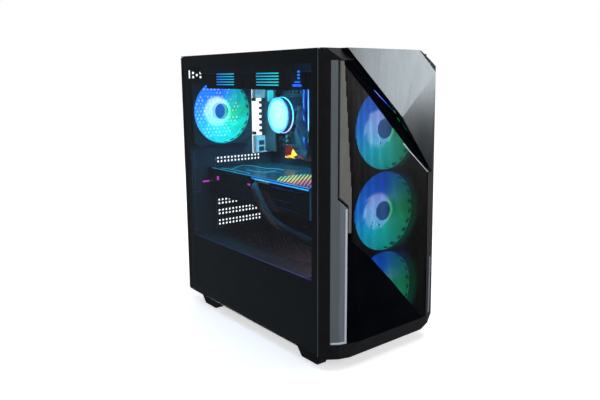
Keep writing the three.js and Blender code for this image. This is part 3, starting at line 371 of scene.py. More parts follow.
def cut_sheet(name, outline, holes, lay, thickness, material, body="chassis",
              stands_for=()):
    """A flat sheet with holes: the outline and holes are triangulated, triangles inside an even number
    of loops are dropped, lay() puts the flat points in place, and Solidify gives the thickness."""
    loops = [np.asarray(outline, float), *[np.asarray(h, float) for h in holes]]
    starts = np.cumsum([0] + [len(l) for l in loops])
    edges = [(s + k, s + (k + 1) % len(l)) for s, l in zip(starts, loops) for k in range(len(l))]
    corners, _, faces, *_ = delaunay_2d_cdt([Vector(p) for p in np.vstack(loops)], edges, [], 1, 1e-5)
    flat = np.array([tuple(p) for p in corners])
    middle = flat[np.array([f[:3] for f in faces])].mean(1)
    crossings = np.zeros(len(faces), int)
    for loop in loops:
        (x0, y0), (x1, y1) = loop.T[:, :, None], np.roll(loop, -1, 0).T[:, :, None]
        spans = (y0 > middle[:, 1]) != (y1 > middle[:, 1])
        meets = x0 + (middle[:, 1] - y0) * (x1 - x0) / np.where(y1 == y0, 1, y1 - y0)
        crossings += (spans & (meets > middle[:, 0])).sum(0)
    faces = [list(f) for f, n in zip(faces, crossings) if n % 2]
    mesh = bpy.data.meshes.new(name)
    mesh.from_pydata(at(lay(flat)).tolist(), [], faces)
    mesh.materials.append(material)
    piece = bpy.data.objects.new(name, mesh)
    bpy.context.collection.objects.link(piece)
    wall = piece.modifiers.new("sheet", "SOLIDIFY")
    wall.thickness = thickness * 0.001
    wall.offset = 0
    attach(piece, body)
    if stands_for:
        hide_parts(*stands_for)
    return piece


# ---------------------------------------------------------------- rear panel
# One steel sheet, 1 mm thick, with a honeycomb grille stamped for the rear fan, an opening for the
# board's sockets, three open slots behind the graphics card and four perforated slot covers.
REAR_Y = 385.5
REAR_FAN = np.array([68.0, 335.0])
SLOT_X = (71.9, 183.9)
SLOT_PITCH = 20.32
FIRST_SLOT = 242.62
slot_z = [FIRST_SLOT - SLOT_PITCH * n for n in range(7)]
HONEYCOMB = (7.6, 6.6)
row, column = np.mgrid[-9:10, -9:10]
cells = np.stack([(column + row % 2 * 0.5) * HONEYCOMB[0], row * HONEYCOMB[1]], -1).reshape(-1, 2)
cells = cells[np.hypot(*cells.T) < 53] + REAR_FAN
holes = [outline_circle(c, 2.75, 6) for c in cells]
hole, pair = np.mgrid[0:13, 0:2]
for n in (0, 4, 5, 6):
    spots = np.stack([SLOT_X[0] - 1.5 + hole * 7.7, slot_z[n] - 3.4 + pair * 6.8], -1).reshape(-1, 2)
    holes += [outline_circle(c, 2.2, 8) for c in spots]
holes += [outline_box(SLOT_X, (slot_z[n] - 6.5, slot_z[n] + 6.5)) for n in (1, 2, 3)]
holes += [outline_box((148.9, 193.9), (250, 408)), outline_box((29, 171), (13, 91))]
holes += [outline_box((13, 18), (392, 409))]
holes += [outline_circle(c, 2.4, 8)
          for c in ((24, 404.5), (24, 397), (31.5, 400.7), (39, 404.5), (39, 397))]
holes += [outline_circle((14, z), 1.6, 8) for z in (288, 60, 150)]
cut_sheet("rear_panel_sheet", outline_box((8, 221.5), (1.3, 429.7)), holes,
          lambda p: np.stack([p[:, 0], p[:, 0] * 0 + REAR_Y, p[:, 1]], -1), 1.0, powder_coat,
          stands_for=("rear_panel",))

nickel = finish("nickel_plate", (0.42, 0.43, 0.45), (0.60, 0.61, 0.63), 900, (0.22, 0.38), 0.00001, 1.0)


def screw(x, y, z, axis, head=3.2, tall=1.8):
    """A pan-head screw: a domed head with a chamfered rim."""
    profile = [(0, head), (tall * 0.45, head), (tall * 0.8, head * 0.82), (tall, head * 0.45),
               (tall * 0.7, head * 0.3)]
    return turned(profile, (x, y, z), axis, 12)


heads = [screw(66.5, 384.8, z + 1, (0, -1, 0), 2.6, 1.6) for z in slot_z]
heads += [screw(x, 384.8, z, (0, -1, 0), 2.2, 1.4) for x in (10.8, 125) for z in (282, 388)]
assemble("slot_screws", heads, nickel)
# Lighter grey metallic strips along the rear panel's seams.
assemble("rear_seams", [block((19.4, 20.6), (384.2, 385), (110, 262), 0.3),
                        block((16, 31), (384, 385), (184.5, 187.5), 0.3),
                        block((63, 64.2), (384.2, 385), (108, 250), 0.3),
                        block((24, 38), (384.2, 385), (269, 270.4), 0.3)],
         finish("seam_grey_metal", (0.10, 0.11, 0.12), (0.18, 0.19, 0.20), 600, (0.3, 0.5), metallic=0.6))


# ---------------------------------------------------------------- front panel
# A moulded charcoal frame of slanting flat facets carries glued-in pieces: a silver trim, a pale
# ribbed strip, a see-through grille of upright slats, a gloss band, and a satin and a gloss panel.
PLAN = [(0, 0), (2, -12), (20, -23.5), (52, -32), (200, -26), (223, -16)]
LEAN = 0.019


def face_y(x, z):
    """Depth of the panel's skin: of all the slanting planes, the rearmost one at each place."""
    x, z = np.asarray(x, float), np.asarray(z, float)
    walls = [
        y0 + (x - x0) * (y1 - y0) / (x1 - x0) + lean * z
        for (x0, y0), (x1, y1), lean in zip(PLAN[:-1], PLAN[1:], (0, 0, 0, LEAN, LEAN))
    ]
    (x3, y3), (x4, y4) = PLAN[3], PLAN[4]
    for start, steep in ((417, 0.82), (22, -0.2)):
        walls.append(y3 + LEAN * start + (x - x3) * (y4 - y3) / (x4 - x3) + steep * (z - start))
    return np.maximum.reduce(walls)


charcoal = finish("charcoal_plastic", (0.012, 0.0115, 0.013), (0.021, 0.020, 0.023), 2600, (0.42, 0.58),
                  0.00003)
dress("front_frame", charcoal, 0.5)
brushed = finish("brushed_silver", (0.33, 0.38, 0.40), (0.46, 0.52, 0.55), 900, (0.30, 0.46), 0.00001, 0.35,
                 (1, 1, 0.02))
dress("left_trim", brushed, 0.4)
band_black = finish("band_black", (0.003, 0.0035, 0.005), (0.005, 0.006, 0.009), 700, (0.14, 0.2),
                    Specular_IOR_Level=0.0)
for name in ("gloss_band", "corner_panel"):
    dress(name, band_black, 0.3)
dress("lower_panel", finish("panel_black", (0.003, 0.0035, 0.005), (0.006, 0.007, 0.010), 900, (0.34, 0.42),
                            Specular_IOR_Level=0.0), 0.3)


def ribbon(path, width, lift, sink=0.5):
    """A strip with a raised, chamfered top carried along a line of (x, z) points on the panel's skin."""
    p = np.asarray(path, float)
    way = np.diff(p, axis=0)
    way /= np.linalg.norm(way, axis=1)[:, None]
    before, after = np.vstack([way[:1], way]), np.vstack([way, way[-1:]])
    mean = before + after
    mean /= np.linalg.norm(mean, axis=1)[:, None]
    across = np.stack([mean[:, 1], -mean[:, 0]], -1) / (mean * after).sum(1)[:, None]
    share = np.array([-1, -1, -0.55, 0.55, 1, 1]) * width / 2
    rise = np.array([-sink, 0.25 * lift, lift, lift, 0.25 * lift, -sink])
    spot = p[:, None] + across[:, None] * share[:, None]
    depth = face_y(spot[..., 0], spot[..., 1]) - rise
    return loft(np.stack([spot[..., 0], depth, spot[..., 1]], -1))


# Painted highlights: pale, faintly glowing strips along the silver trim's rim and the gloss band's edge
# stand for the light that those edges catch.
painted_edge_highlight = finish("painted_edge_highlight", (0.72, 0.75, 0.82), (0.85, 0.88, 0.95), 700, (0.22, 0.34), metallic=0.2,
                    stretch=(1, 1, 0.03), Emission_Color=(0.75, 0.82, 1, 1), Emission_Strength=0.22)
assemble("trim_rim_painted_highlight", [ribbon([(29.4, 218), (29.4, 23.8), (20, 23.8), (9.6, 23.8)], 3.0, 0.5)], painted_edge_highlight,
         "front_panel")
assemble("right_sliver", [ribbon([(214.5, 116), (213, 60), (211.5, 25)], 6.5, 0.4)], brushed, "front_panel")
assemble("band_edge_painted_highlight", [ribbon([(142, 300.5), (154, 289.6), (198, 253.6)], 1.1, 0.45)], painted_edge_highlight,
         "front_panel")

# The grille: upright slats, each cut to the outline of its opening.
slat_x = np.arange(27.2, 199, 2.3)
slat_low = np.where(slat_x < 38, 417 - (slat_x - 25.2) * 14.96,
                    np.interp(slat_x, [33, 80, 124, 154, 194, 199], [174, 136, 93, 61, 21, 21]))
slat_high = np.interp(slat_x, [27, 67, 114, 154, 199], [412.5, 377.5, 332.5, 295.5, 258.5])


def slats(x, low, high, width, depth, sink):
    """One bar for each x, from low to high, following the skin, with its front edges cut off."""
    side = np.array([-1, -1, -0.5, 0.5, 1, 1]) * width / 2
    inward = np.array([depth, 0.25, 0, 0, 0.25, depth]) + sink
    ends = np.stack([low, high], -1)
    spot_x = x[:, None, None] + side + ends[..., None] * 0
    spot_z = ends[..., None] + side * 0
    rings = np.stack([spot_x, face_y(spot_x, spot_z) + inward, spot_z], -1)
    return [loft(pair) for pair in rings]


slat_paint = finish("grille_paint", (0.013, 0.0125, 0.0115), (0.028, 0.027, 0.0245), 1500, (0.35, 0.5),
                    0.00002, 0.3, (1, 1, 0.04))
bars = slats(slat_x, slat_low, slat_high, 0.85, 1.3, 0.8)
assemble("grille_slats", bars, slat_paint, "front_panel", ("front_mesh",))

# The pale strip's ribs stand on a closed sheet.
dress("pale_mesh_strip",
      finish("strip_ground", (0.12, 0.115, 0.105), (0.17, 0.16, 0.15), 1100, (0.4, 0.55), 0.00002, 0.3))
rib_x = np.arange(20.0, 37.4, 1.35)
rib_low = np.where(rib_x < 32.5, 235.5 - (rib_x - 19) * 13 / 14, 184.5)
rib_high = np.where(rib_x > 25, 416 - (rib_x - 25) * 14.96, 416)
pale_paint = finish("strip_ribs", (0.60, 0.59, 0.55), (0.74, 0.73, 0.68), 1300, (0.3, 0.45), 0.00001, 0.45,
                    (1, 1, 0.03))
assemble("strip_ribs", slats(rib_x, rib_low, rib_high, 0.8, 0.55, 0.05), pale_paint, "front_panel")

def streak(name, colour):
    """A painted reflection: a glowing line for the fans' coloured light caught in the band's gloss edge."""
    return finish(name, (0.005, 0.005, 0.01), (0.01, 0.01, 0.02), 500, (0.3, 0.4),
                  Emission_Color=(*colour, 1), Emission_Strength=1.0)


assemble("band_blue_painted_reflection", [ribbon([(80, 377.4), (106, 358)], 1.3, 0.35)],
         streak("painted_reflection_blue", (0.0, 0.055, 0.85)), "front_panel")
assemble("band_green_painted_reflection", [ribbon([(127.5, 338.5), (133, 332)], 1.6, 0.35)],
         streak("painted_reflection_green", (0.0, 0.10, 0.03)), "front_panel")

# The corner panel is a proud plate of gloss black, folded along a crease that runs up to its right
# edge; its upper facet lies over the frame's top bevel. Its walls go back to the frame.
facet_x = np.array([131.3, 202.5, 206.8, 29.5, 168.0])
facet_z = np.array([339.0, 402.0, 253.0, 433.3, 433.3])
facet_y = np.array([-29.5, -26.4, -21.7, -25.4, -24.1])
front_skin = np.stack([facet_x, facet_y, facet_z], -1)
back_skin = front_skin + np.array([0.0, 1.0,
                                   0.0]) * (np.array([-20.5, -15.0, -15.0, -9.5, -4.5]) - facet_y)[:, None]
satin = finish("satin_black", (0.012, 0.014, 0.016), (0.018, 0.020, 0.023), 700, (0.20, 0.28), 0.00001,
               stretch=(1, 1, 0.02), Specular_IOR_Level=0.55, Specular_Tint=(0.80, 0.93, 1.0, 1))
rim_walls = [[a, b, b + 5, a + 5] for a, b in ((0, 2), (2, 1), (1, 4), (4, 3), (3, 0))]
assemble("corner_facets",
         [(np.vstack([front_skin, back_skin]),
           [[0, 1, 4, 3], [0, 2, 1], [8, 9, 6, 5], [6, 7, 5], *rim_walls])],
         satin, "front_panel", smooth=None)


# ---------------------------------------------------------------- glass door
# A pane of smoked tempered glass, with a black border printed on its inner face; its front edge is a pale
# grey strip, a painted highlight for the glint on that edge. It is bonded to a steel rail at its rear edge,
# which turns on two steel pins.
def make_glass():
    """Smoked glass: shadow rays pass straight through, so that lamps reach the inside."""
    made = bpy.data.materials.new("smoked_glass")
    made.use_nodes = True
    tree = made.node_tree
    shader = tree.nodes["Principled BSDF"]
    where = node(tree, "TexCoord")
    haze = node(tree, "TexNoise", {"Vector": where.outputs["Object"], "Scale": 60.0, "Detail": 2})
    tint = node(tree, "Mix", {0: haze.outputs[0], 6: (0.56, 0.63, 0.66, 1), 7: (0.60, 0.67, 0.70, 1)},
                data_type="RGBA")
    rough = node(tree, "MapRange", {0: haze.outputs[0], 3: 0.0, 4: 0.004})
    tree.links.new(tint.outputs[2], shader.inputs["Base Color"])
    tree.links.new(rough.outputs[0], shader.inputs["Roughness"])
    shader.inputs["Transmission Weight"].default_value = 1.0
    shader.inputs["IOR"].default_value = 1.45
    shader.inputs["Specular IOR Level"].default_value = 0.3
    clear = node(tree, "BsdfTransparent", {"Color": (0.14, 0.17, 0.19, 1)})
    rays = node(tree, "LightPath")
    either = node(tree, "MixShader",
                  {0: rays.outputs["Is Shadow Ray"], 1: shader.outputs[0], 2: clear.outputs[0]})
    tree.links.new(either.outputs[0], tree.nodes["Material Output"].inputs["Surface"])
    return made


DOOR_TOP, DOOR_LOW, DOOR_REAR = 433.5, 0.5, 380.0
assemble("glass_sheet", [block((0.02, 3.98), (1.3, DOOR_REAR), (DOOR_LOW, DOOR_TOP), 0.4)], make_glass(),
         "glass_door", ("glass_pane",))
# The glass's front edge is painted pale grey: a painted highlight standing for the glint of light along
# that edge.
glass_edge_painted_glint = finish("glass_edge_painted_glint", (0.22, 0.23, 0.24), (0.36, 0.38, 0.40), 800, (0.35, 0.5),
                     stretch=(1, 1, 0.05))
assemble("glass_front_edge", [block((0.02, 3.98), (0.05, 1.25), (DOOR_LOW, DOOR_TOP), 0.4)], glass_edge_painted_glint,
         "glass_door")
BORDER = {"front": 17, "rear": 12, "top": 19, "low": 13}
ink = finish("black_print", (0.002, 0.002, 0.003), (0.004, 0.004, 0.005), 300, (0.3, 0.4))
cut_sheet("glass_border", outline_box((1.5, DOOR_REAR - 0.5), (DOOR_LOW + 0.4, DOOR_TOP - 0.4)),
          [outline_box((BORDER["front"], DOOR_REAR - BORDER["rear"]),
                       (BORDER["low"], DOOR_TOP - BORDER["top"]))],
          lambda p: np.stack([p[:, 0] * 0 + 4.12, p[:, 0], p[:, 1]], -1), 0.12, ink,
          "glass_door")
dress("door_rail", powder_coat, 0.4)
for name in ("hinge_pin_lower", "hinge_pin_upper"):
    dress(name, nickel)


# ---------------------------------------------------------------- case fans
# Six 120 mm fans: square black frames, screwed at their corners, hold frosted impellers of nine
# overlapping blades. Coloured light from the hub spreads over the blades and a bright crescent.
fan_plastic = finish("fan_plastic", (0.010, 0.010, 0.012), (0.018, 0.018, 0.021), 2000, (0.38, 0.52),
                     0.00002)
rubber = finish("black_rubber", (0.008, 0.008, 0.008), (0.015, 0.015, 0.015), 1500, (0.7, 0.85), 0.00005)
FAN_DEPTH = 25.0


def fill_ramp(ramp, stops):
    """Gives a colour ramp one element for each stop, a place and a colour."""
    while len(ramp.elements) < len(stops):
        ramp.elements.new(0.5)
    for element, (place, colour) in zip(ramp.elements, stops):
        element.position = place
        element.color = (*colour, 1)


def make_glow():
    """Coloured light: the hue follows the angle round the hub, the strength the distance from it."""
    tree, given, out = new_group("fan_glow", {"Disc": "Vector", "Strength": "Float"}, {"Color": "Color"})
    axes = node(tree, "SeparateXYZ", {0: given.outputs["Disc"]})
    angle = node(tree, "Math", {0: axes.outputs[1], 1: axes.outputs[0]}, operation="ARCTAN2")
    turn = node(tree, "MapRange", {0: angle.outputs[0], 1: -np.pi, 2: np.pi})
    hues = node(tree, "ValToRGB", {0: turn.outputs[0]})
    stops = [(0.0, (0.004, 0.20, 0.80)), (0.12, (0.006, 0.42, 0.72)), (0.25, (0.004, 0.50, 0.48)),
             (0.38, (0.002, 0.42, 0.24)), (0.50, (0.002, 0.30, 0.12)), (0.62, (0.003, 0.24, 0.28)),
             (0.74, (0.003, 0.08, 0.62)), (0.88, (0.003, 0.13, 0.74)), (1.0, (0.004, 0.20, 0.80))]
    fill_ramp(hues.color_ramp, stops)
    reach = node(tree, "VectorMath", {0: given.outputs["Disc"]}, operation="LENGTH")
    offset = node(tree, "VectorMath", {0: given.outputs["Disc"], 1: (0.14, 0.0, 0.0)}, operation="ADD")
    bow = node(tree, "VectorMath", {0: offset.outputs[0]}, operation="LENGTH")
    crescent = node(tree, "MapRange", {0: bow.outputs["Value"], 1: 0.53, 2: 0.40},
                    interpolation_type="SMOOTHSTEP")
    height = node(tree, "MapRange", {0: axes.outputs[1], 1: -0.45, 2: 0.35})
    pale = node(tree, "Mix", {0: height.outputs[0], 6: (0.14, 0.60, 0.95, 1), 7: (0.30, 0.44, 1.0, 1)},
                data_type="RGBA")
    warm = node(tree, "MapRange", {0: axes.outputs[0], 1: 0.10, 2: 0.26})
    ring = node(tree, "Mix", {0: warm.outputs[0], 6: pale.outputs[2], 7: (0.10, 0.95, 0.30, 1)},
                data_type="RGBA")
    lit = node(tree, "Mix", {0: crescent.outputs[0], 6: hues.outputs[0], 7: ring.outputs[2]},
               data_type="RGBA")
    core = node(tree, "MapRange", {0: reach.outputs["Value"], 1: 0.262, 2: 0.248})
    whole = node(tree, "Mix", {0: core.outputs[0], 6: lit.outputs[2], 7: (0.004, 0.055, 0.22, 1)},
                 data_type="RGBA")
    rim = node(tree, "MapRange", {0: reach.outputs["Value"], 1: 0.3, 2: 1.0, 3: 1.0, 4: 0.72})
    power = node(tree, "Math", {0: rim.outputs[0], 1: given.outputs["Strength"]}, operation="MULTIPLY")
    scaled = node(tree, "VectorMath", {0: whole.outputs[2], "Scale": power.outputs[0]}, operation="SCALE")
    tree.links.new(scaled.outputs[0], out.inputs[0])
    return tree


glow = make_glow()


def lit_blade(name, strength, alpha=1.0):
    """Frosted clear plastic that glows with the fan's light, read from each impeller's own disc map."""
    made = finish(name, (0.01, 0.04, 0.06), (0.015, 0.05, 0.08), 300, (0.35, 0.5), Specular_IOR_Level=0.2)
    tree = made.node_tree
    disc = node(tree, "Attribute", attribute_name="disc")
    use = node(tree, "Group", {"Disc": disc.outputs["Vector"], "Strength": strength}, node_tree=glow)
    shader = tree.nodes["Principled BSDF"]
    tree.links.new(use.outputs[0], shader.inputs["Emission Color"])
    shader.inputs["Emission Strength"].default_value = 1.0
    shader.inputs["Alpha"].default_value = alpha
    return made


def impeller_parts(bore, hub, deep, blades):
    """Twisted blades and a dished hub, drawn round the z axis from the inlet at z = 0.
    A blade's section is a thin lens: its chord turns from steep to flat as the radius grows."""
    r = np.linspace(hub * 0.94, bore, 9)[:, None]
    t = (r - hub) / (bore - hub)
    s = np.linspace(0, 1, 7)
    chord = np.concatenate([s, s[-2:0:-1]])
    thick = np.concatenate([np.sin(np.pi * s), -0.25 * np.sin(np.pi * s[-2:0:-1])]) * 1.3
    angle = 0.5 * t + 0.3 * t**2 + (chord - 0.5) * 8.6 / blades
    z = deep * 0.2 + chord * deep * 0.42 + thick * 0.8
    parts = []
    for n in range(blades):
        a = angle + 2 * np.pi * n / blades
        parts.append(loft(np.stack([r * np.cos(a), r * np.sin(a), z + 0 * r], -1)))
    dish = [(deep - 1, hub), (4.2, hub), (2.4, hub * 0.97), (1.6, hub * 0.90), (1.6, hub * 0.76),
            (2.2, hub * 0.72), (2.2, hub * 0.1)]
    parts.append(turned(dish, (0, 0, 0), (0, 0, 1), 40))
    return parts


def stand_up(parts, centre, axis):
    """Turns parts drawn round z so that their inlet faces -y or -z, and moves them to their place."""
    centre = np.asarray(centre, float)
    if axis == "y":
        return [(p[:, [0, 2, 1]] + centre, f) for p, f in parts]
    return [(p + centre, f) for p, f in parts]


def disc_map(piece, centre, axis, bore):
    """Writes each point's place on the fan's disc, in bore radii, as the attribute the light reads."""
    co = np.zeros(len(piece.data.vertices) * 3)
    piece.data.vertices.foreach_get("co", co)
    local = (co.reshape(-1, 3) - at(centre)) / (bore * 0.001)
    flat = np.stack([local[:, 0], local[:, 2] if axis == "y" else local[:, 1], local[:, 0] * 0], -1)
    piece.data.attributes.new("disc", "FLOAT_VECTOR", "POINT").data.foreach_set("vector", flat.ravel())


BORE, HUB = 56.7, 19.8
front_glow, rear_glow, top_glow = lit_blade("front_fan_light", 3.9), lit_blade("rear_fan_light", 3.9,
    0.58), lit_blade("top_fan_light", 3.0)
fans = [(f"front_fan_{n + 1}", (112, -16, 83 + 120 * n), "y", front_glow) for n in range(3)]
fans += [("rear_fan", (68, 359.7, 335), "y", rear_glow)]
fans += [(f"top_fan_{n + 1}", (76, 147 + 122 * n, 377.4), "z", top_glow) for n in range(2)]
for label, place, axis, light in fans:
    cad = label.replace("fan", "impeller")
    wheel = assemble(cad + "_wheel", stand_up(impeller_parts(BORE, HUB, 16.7, 9), place, axis), light,
                     label + "_rotor", (cad,), 40)
    disc_map(wheel, place, axis, BORE)
    edge = turned([(-0.2, 57.2), (-0.2, 58.4), (0.4, 58.4), (0.6, 57.45), (15, 57.45), (15, 57.05)],
                  (0, 0, 0), (0, 0, 1), 56)
    light_ring = (edge[0], edge[1][:-2]
                  + [[280 + k, 280 + (k + 1) % 56, (k + 1) % 56, k] for k in range(56)])
    halo = assemble(label + "_light_ring", stand_up([light_ring], place, axis), light)
    disc_map(halo, place, axis, BORE)
    dress(label.replace("fan", "fan_frame"), fan_plastic, 0.4)
    pads = []
    for sx in (-1, 1):
        for sy in (-1, 1):
            c = np.array([sx * 52.5, sy * 52.5])
            for z0, z1 in ((-0.2, 1.2), (FAN_DEPTH - 1.2, FAN_DEPTH + 0.1)):
                pads.append(turned([(z0, 5.0), (z0 + 0.3, 5.4), (z1, 5.4)], (*c, 0), (0, 0, 1), 14))
    assemble(label + "_pads", stand_up(pads, place, axis), rubber)


# ---------------------------------------------------------------- liquid cooler
# An aluminium radiator hangs under the roof: folded fins between flat tubes, a tank at each end.
# Two woven-covered rubber hoses join it to a round pump with a mirrored, ring-lit cap.
fin_metal = finish("fin_aluminium", (0.05, 0.05, 0.055), (0.09, 0.09, 0.10), 1500, (0.35, 0.5), 0.00001,
                   0.6)
RAD_X, RAD_Y, RAD_Z = (16.2, 135.8), (69.7, 346.3), (403.0, 429.5)
core = [block(RAD_X, (RAD_Y[0], RAD_Y[0] + 17), RAD_Z, 1.5),
        block(RAD_X, (RAD_Y[1] - 14, RAD_Y[1]), RAD_Z, 1.5)]
core += [block(x, (RAD_Y[0] + 16, RAD_Y[1] - 13), RAD_Z, 0.5)
         for x in ((RAD_X[0], RAD_X[0] + 1.6), (RAD_X[1] - 1.6, RAD_X[1]))]
core += [block((x, x + 2), (RAD_Y[0] + 16, RAD_Y[1] - 13), (RAD_Z[0] + 3, RAD_Z[1] - 3), 0.5)
         for x in np.linspace(24, 126, 12)]
core += [block((RAD_X[0] + 1.4, RAD_X[1] - 1.4), (y, y + 0.35), (RAD_Z[0] + 2, RAD_Z[1] - 2), 0.1)
         for y in np.arange(RAD_Y[0] + 19, RAD_Y[1] - 15, 2.4)]
HOSE_X = (96.0, 56.0)
core += [turned([(402.4, 6.8), (403.6, 7.4), (405.5, 7.4)], (x, 78.5, 0), (0, 0, 1), 18) for x in HOSE_X]
assemble("radiator_core", core, fin_metal, stands_for=("radiator",))


def woven(name, dark, light, repeat):
    """Braided sleeve: crossing diagonal threads, read from the piece's own length-and-round map."""
    made = finish(name, dark, light, 1500, (0.45, 0.65))
    tree = made.node_tree
    shader = tree.nodes["Principled BSDF"]
    run = node(tree, "Attribute", attribute_name="run")
    parts = node(tree, "SeparateXYZ", {0: run.outputs["Vector"]})
    waves = []
    for sign in (1, -1):
        across = node(tree, "Math", {0: parts.outputs[1], 1: 8.0 * sign}, operation="MULTIPLY")
        along = node(tree, "Math", {0: parts.outputs[0], 1: repeat, 2: across.outputs[0]},
                     operation="MULTIPLY_ADD")
        turn = node(tree, "Math", {0: along.outputs[0], 1: 2 * np.pi}, operation="MULTIPLY")
        waves.append(node(tree, "Math", {0: turn.outputs[0]}, operation="SINE"))
    weave = node(tree, "Math", {0: waves[0].outputs[0], 1: waves[1].outputs[0]}, operation="MULTIPLY")
    bump = node(tree, "Bump", {"Strength": 0.6, "Distance": 0.0003, "Height": weave.outputs[0]})
    tree.links.new(bump.outputs[0], shader.inputs["Normal"])
    return made


def hose(name, points, radius, material, count, sides=16, stands_for=()):
    """A round tube on a smooth line, with a map of (metres along, share of a turn) for its weave."""
    drawn = swept(points, radius, sides, count)
    piece = assemble(name, [drawn], material, stands_for=stands_for, smooth=60)
    line = smooth_line(points, count) * 0.001
    run = np.concatenate([[0], np.cumsum(np.linalg.norm(np.diff(line, axis=0), axis=1))])
    co = np.zeros(len(piece.data.vertices) * 3)
    piece.data.vertices.foreach_get("co", co)
    gap = np.linalg.norm(co.reshape(-1, 1, 3) - at(line * 1000)[None], axis=2)
    near = gap.argmin(1)
    made = np.stack([run[near], (np.arange(len(near)) % sides) / sides, near * 0.0], -1)
    piece.data.attributes.new("run", "FLOAT_VECTOR", "POINT").data.foreach_set("vector", made.ravel())
    return piece, [tuple(p) for p in at(smooth_line(points, 24))], float(run[-1])


HOSES = (
    [(160.9, 246.7, 339), (160.9, 238.7, 339), (154.9, 233, 337), (126.9, 203, 326), (112, 164, 302),
     (104, 118, 302), (98, 88, 330), (96, 78.5, 370), (96, 78.5, 402.4)],
    [(160.9, 246.7, 317), (160.9, 238.7, 317), (153.9, 235, 313), (122.9, 203, 300), (100, 156, 272),
     (74, 108, 276), (60, 84, 318), (56, 78.5, 366), (56, 78.5, 402.4)],
)
hose_cover = woven("hose_cover", (0.006, 0.007, 0.009), (0.014, 0.016, 0.020), 300.0)
for n, route in enumerate(HOSES):
    piece, line, length = hose(f"coolant_hose_{n + 1}_sleeve", route, 6.0, hose_cover, 70,
                               stands_for=(f"coolant_hose_{n + 1}",))
ends = []
for n, route in enumerate(HOSES):
    ends.append(turned([(0.3, 6.3), (1.2, 7.2), (11, 7.2), (12, 6.4)], (160.9, 247, route[0][2]),
                       (0, -1, 0), 18))
    ends.append(turned([(0.1, 6.3), (1, 7.2), (12, 7.2), (13, 6.4)], (HOSE_X[n], 78.5, 402.3), (0, 0, -1),
                       18))
assemble("hose_ferrules", ends, fan_plastic)

PUMP_Y, PUMP_Z, PUMP_X, PUMP_R = 285.0, 328.0, 140.9, 32.0
dress("pump_body", charcoal, 0.5)


def glowing(name, near, far, start, end, axis, strength, base=(0.02, 0.03, 0.05)):
    """A glowing surface whose colour runs from one hue to another along an axis of the object: frosted
    light guides, and on the graphics card the painted reflections and highlights.
    """
    made = finish(name, base, tuple(1.5 * c for c in base), 500, (0.25, 0.4))
    tree = made.node_tree
    where = node(tree, "TexCoord")
    parts = node(tree, "SeparateXYZ", {0: where.outputs["Object"]})
    share = node(tree, "MapRange", {0: parts.outputs[axis], 1: start, 2: end})
    mixed = node(tree, "Mix", {0: share.outputs[0], 6: (*near, 1), 7: (*far, 1)}, data_type="RGBA")
    shader = tree.nodes["Principled BSDF"]
    tree.links.new(mixed.outputs[2], shader.inputs["Emission Color"])
    shader.inputs["Emission Strength"].default_value = strength
    return made


def along_y(y):
    """The row's y for a drawing y, for the light guides' colour runs."""
    return float(at((0, y, 0))[1])


def along_z(z):
    """The row's z for a drawing z."""
    return float(at((0, 0, z))[2])


def ring(x, inner, outer, tall, sides=48, centre=(PUMP_Y, PUMP_Z), span=(0, 360)):
    """A flat ring, or part of one, lying in a plane of constant x and standing out towards the glass."""
    a = np.radians(np.linspace(*span, sides + 1))
    section = np.array([(inner, 0), (inner, -tall), (outer, -tall), (outer, 0)])
    y = centre[0] + section[:, 0] * np.cos(a)[:, None]
    z = centre[1] + section[:, 0] * np.sin(a)[:, None]
    x = np.zeros_like(y) + x + section[:, 1]
    rings = np.stack([x, y, z], -1)
    if span[1] - span[0] < 360:
        return loft(rings)
    n, m = sides, 4
    i, j = np.mgrid[0:n, 0:m]
    p, q = i * m + j, i * m + (j + 1) % m
    faces = np.stack([p, q, (q + m) % (n * m), (p + m) % (n * m)], -1).reshape(-1, 4).tolist()
    return rings[:-1].reshape(-1, 3), faces


cap_light = glowing("cap_light", (0.42, 0.86, 0.95), (0.50, 0.80, 0.98), along_z(300), along_z(356), 2,
                    1.75)
deep_blue = glowing("deep_blue_light", (0.004, 0.05, 0.75), (0.005, 0.22, 0.80), along_z(290), along_z(362),
                    2, 1.6)
pump_disc = [turned([(0, 27), (0.9, 27), (1.3, 26.2), (1.3, 0.2)], (PUMP_X, PUMP_Y, PUMP_Z), (-1, 0, 0),
                    48)]
assemble("pump_cap_disc", pump_disc, cap_light, stands_for=("pump_cap",))
pump_rings = [ring(PUMP_X - 1.2, r, r + 0.9, 0.5) for r in (8, 12, 16, 20, 23.6)]
assemble("pump_cap_rings", pump_rings,
         glowing("ring_light", (0.02, 0.30, 0.60), (0.04, 0.34, 0.70), along_z(300), along_z(356), 2, 1.3))
assemble("pump_rim", [ring(PUMP_X + 0.2, 27.4, PUMP_R + 0.2, 1.6)], deep_blue)
assemble("pump_side_ring", [ring(151.5, PUMP_R - 0.5, PUMP_R + 0.9, 2.2, 60)],
         glowing("side_ring_light", (0.55, 0.45, 0.95), (0.10, 0.85, 1.0), along_z(300), along_z(330), 2,
                 2.8))


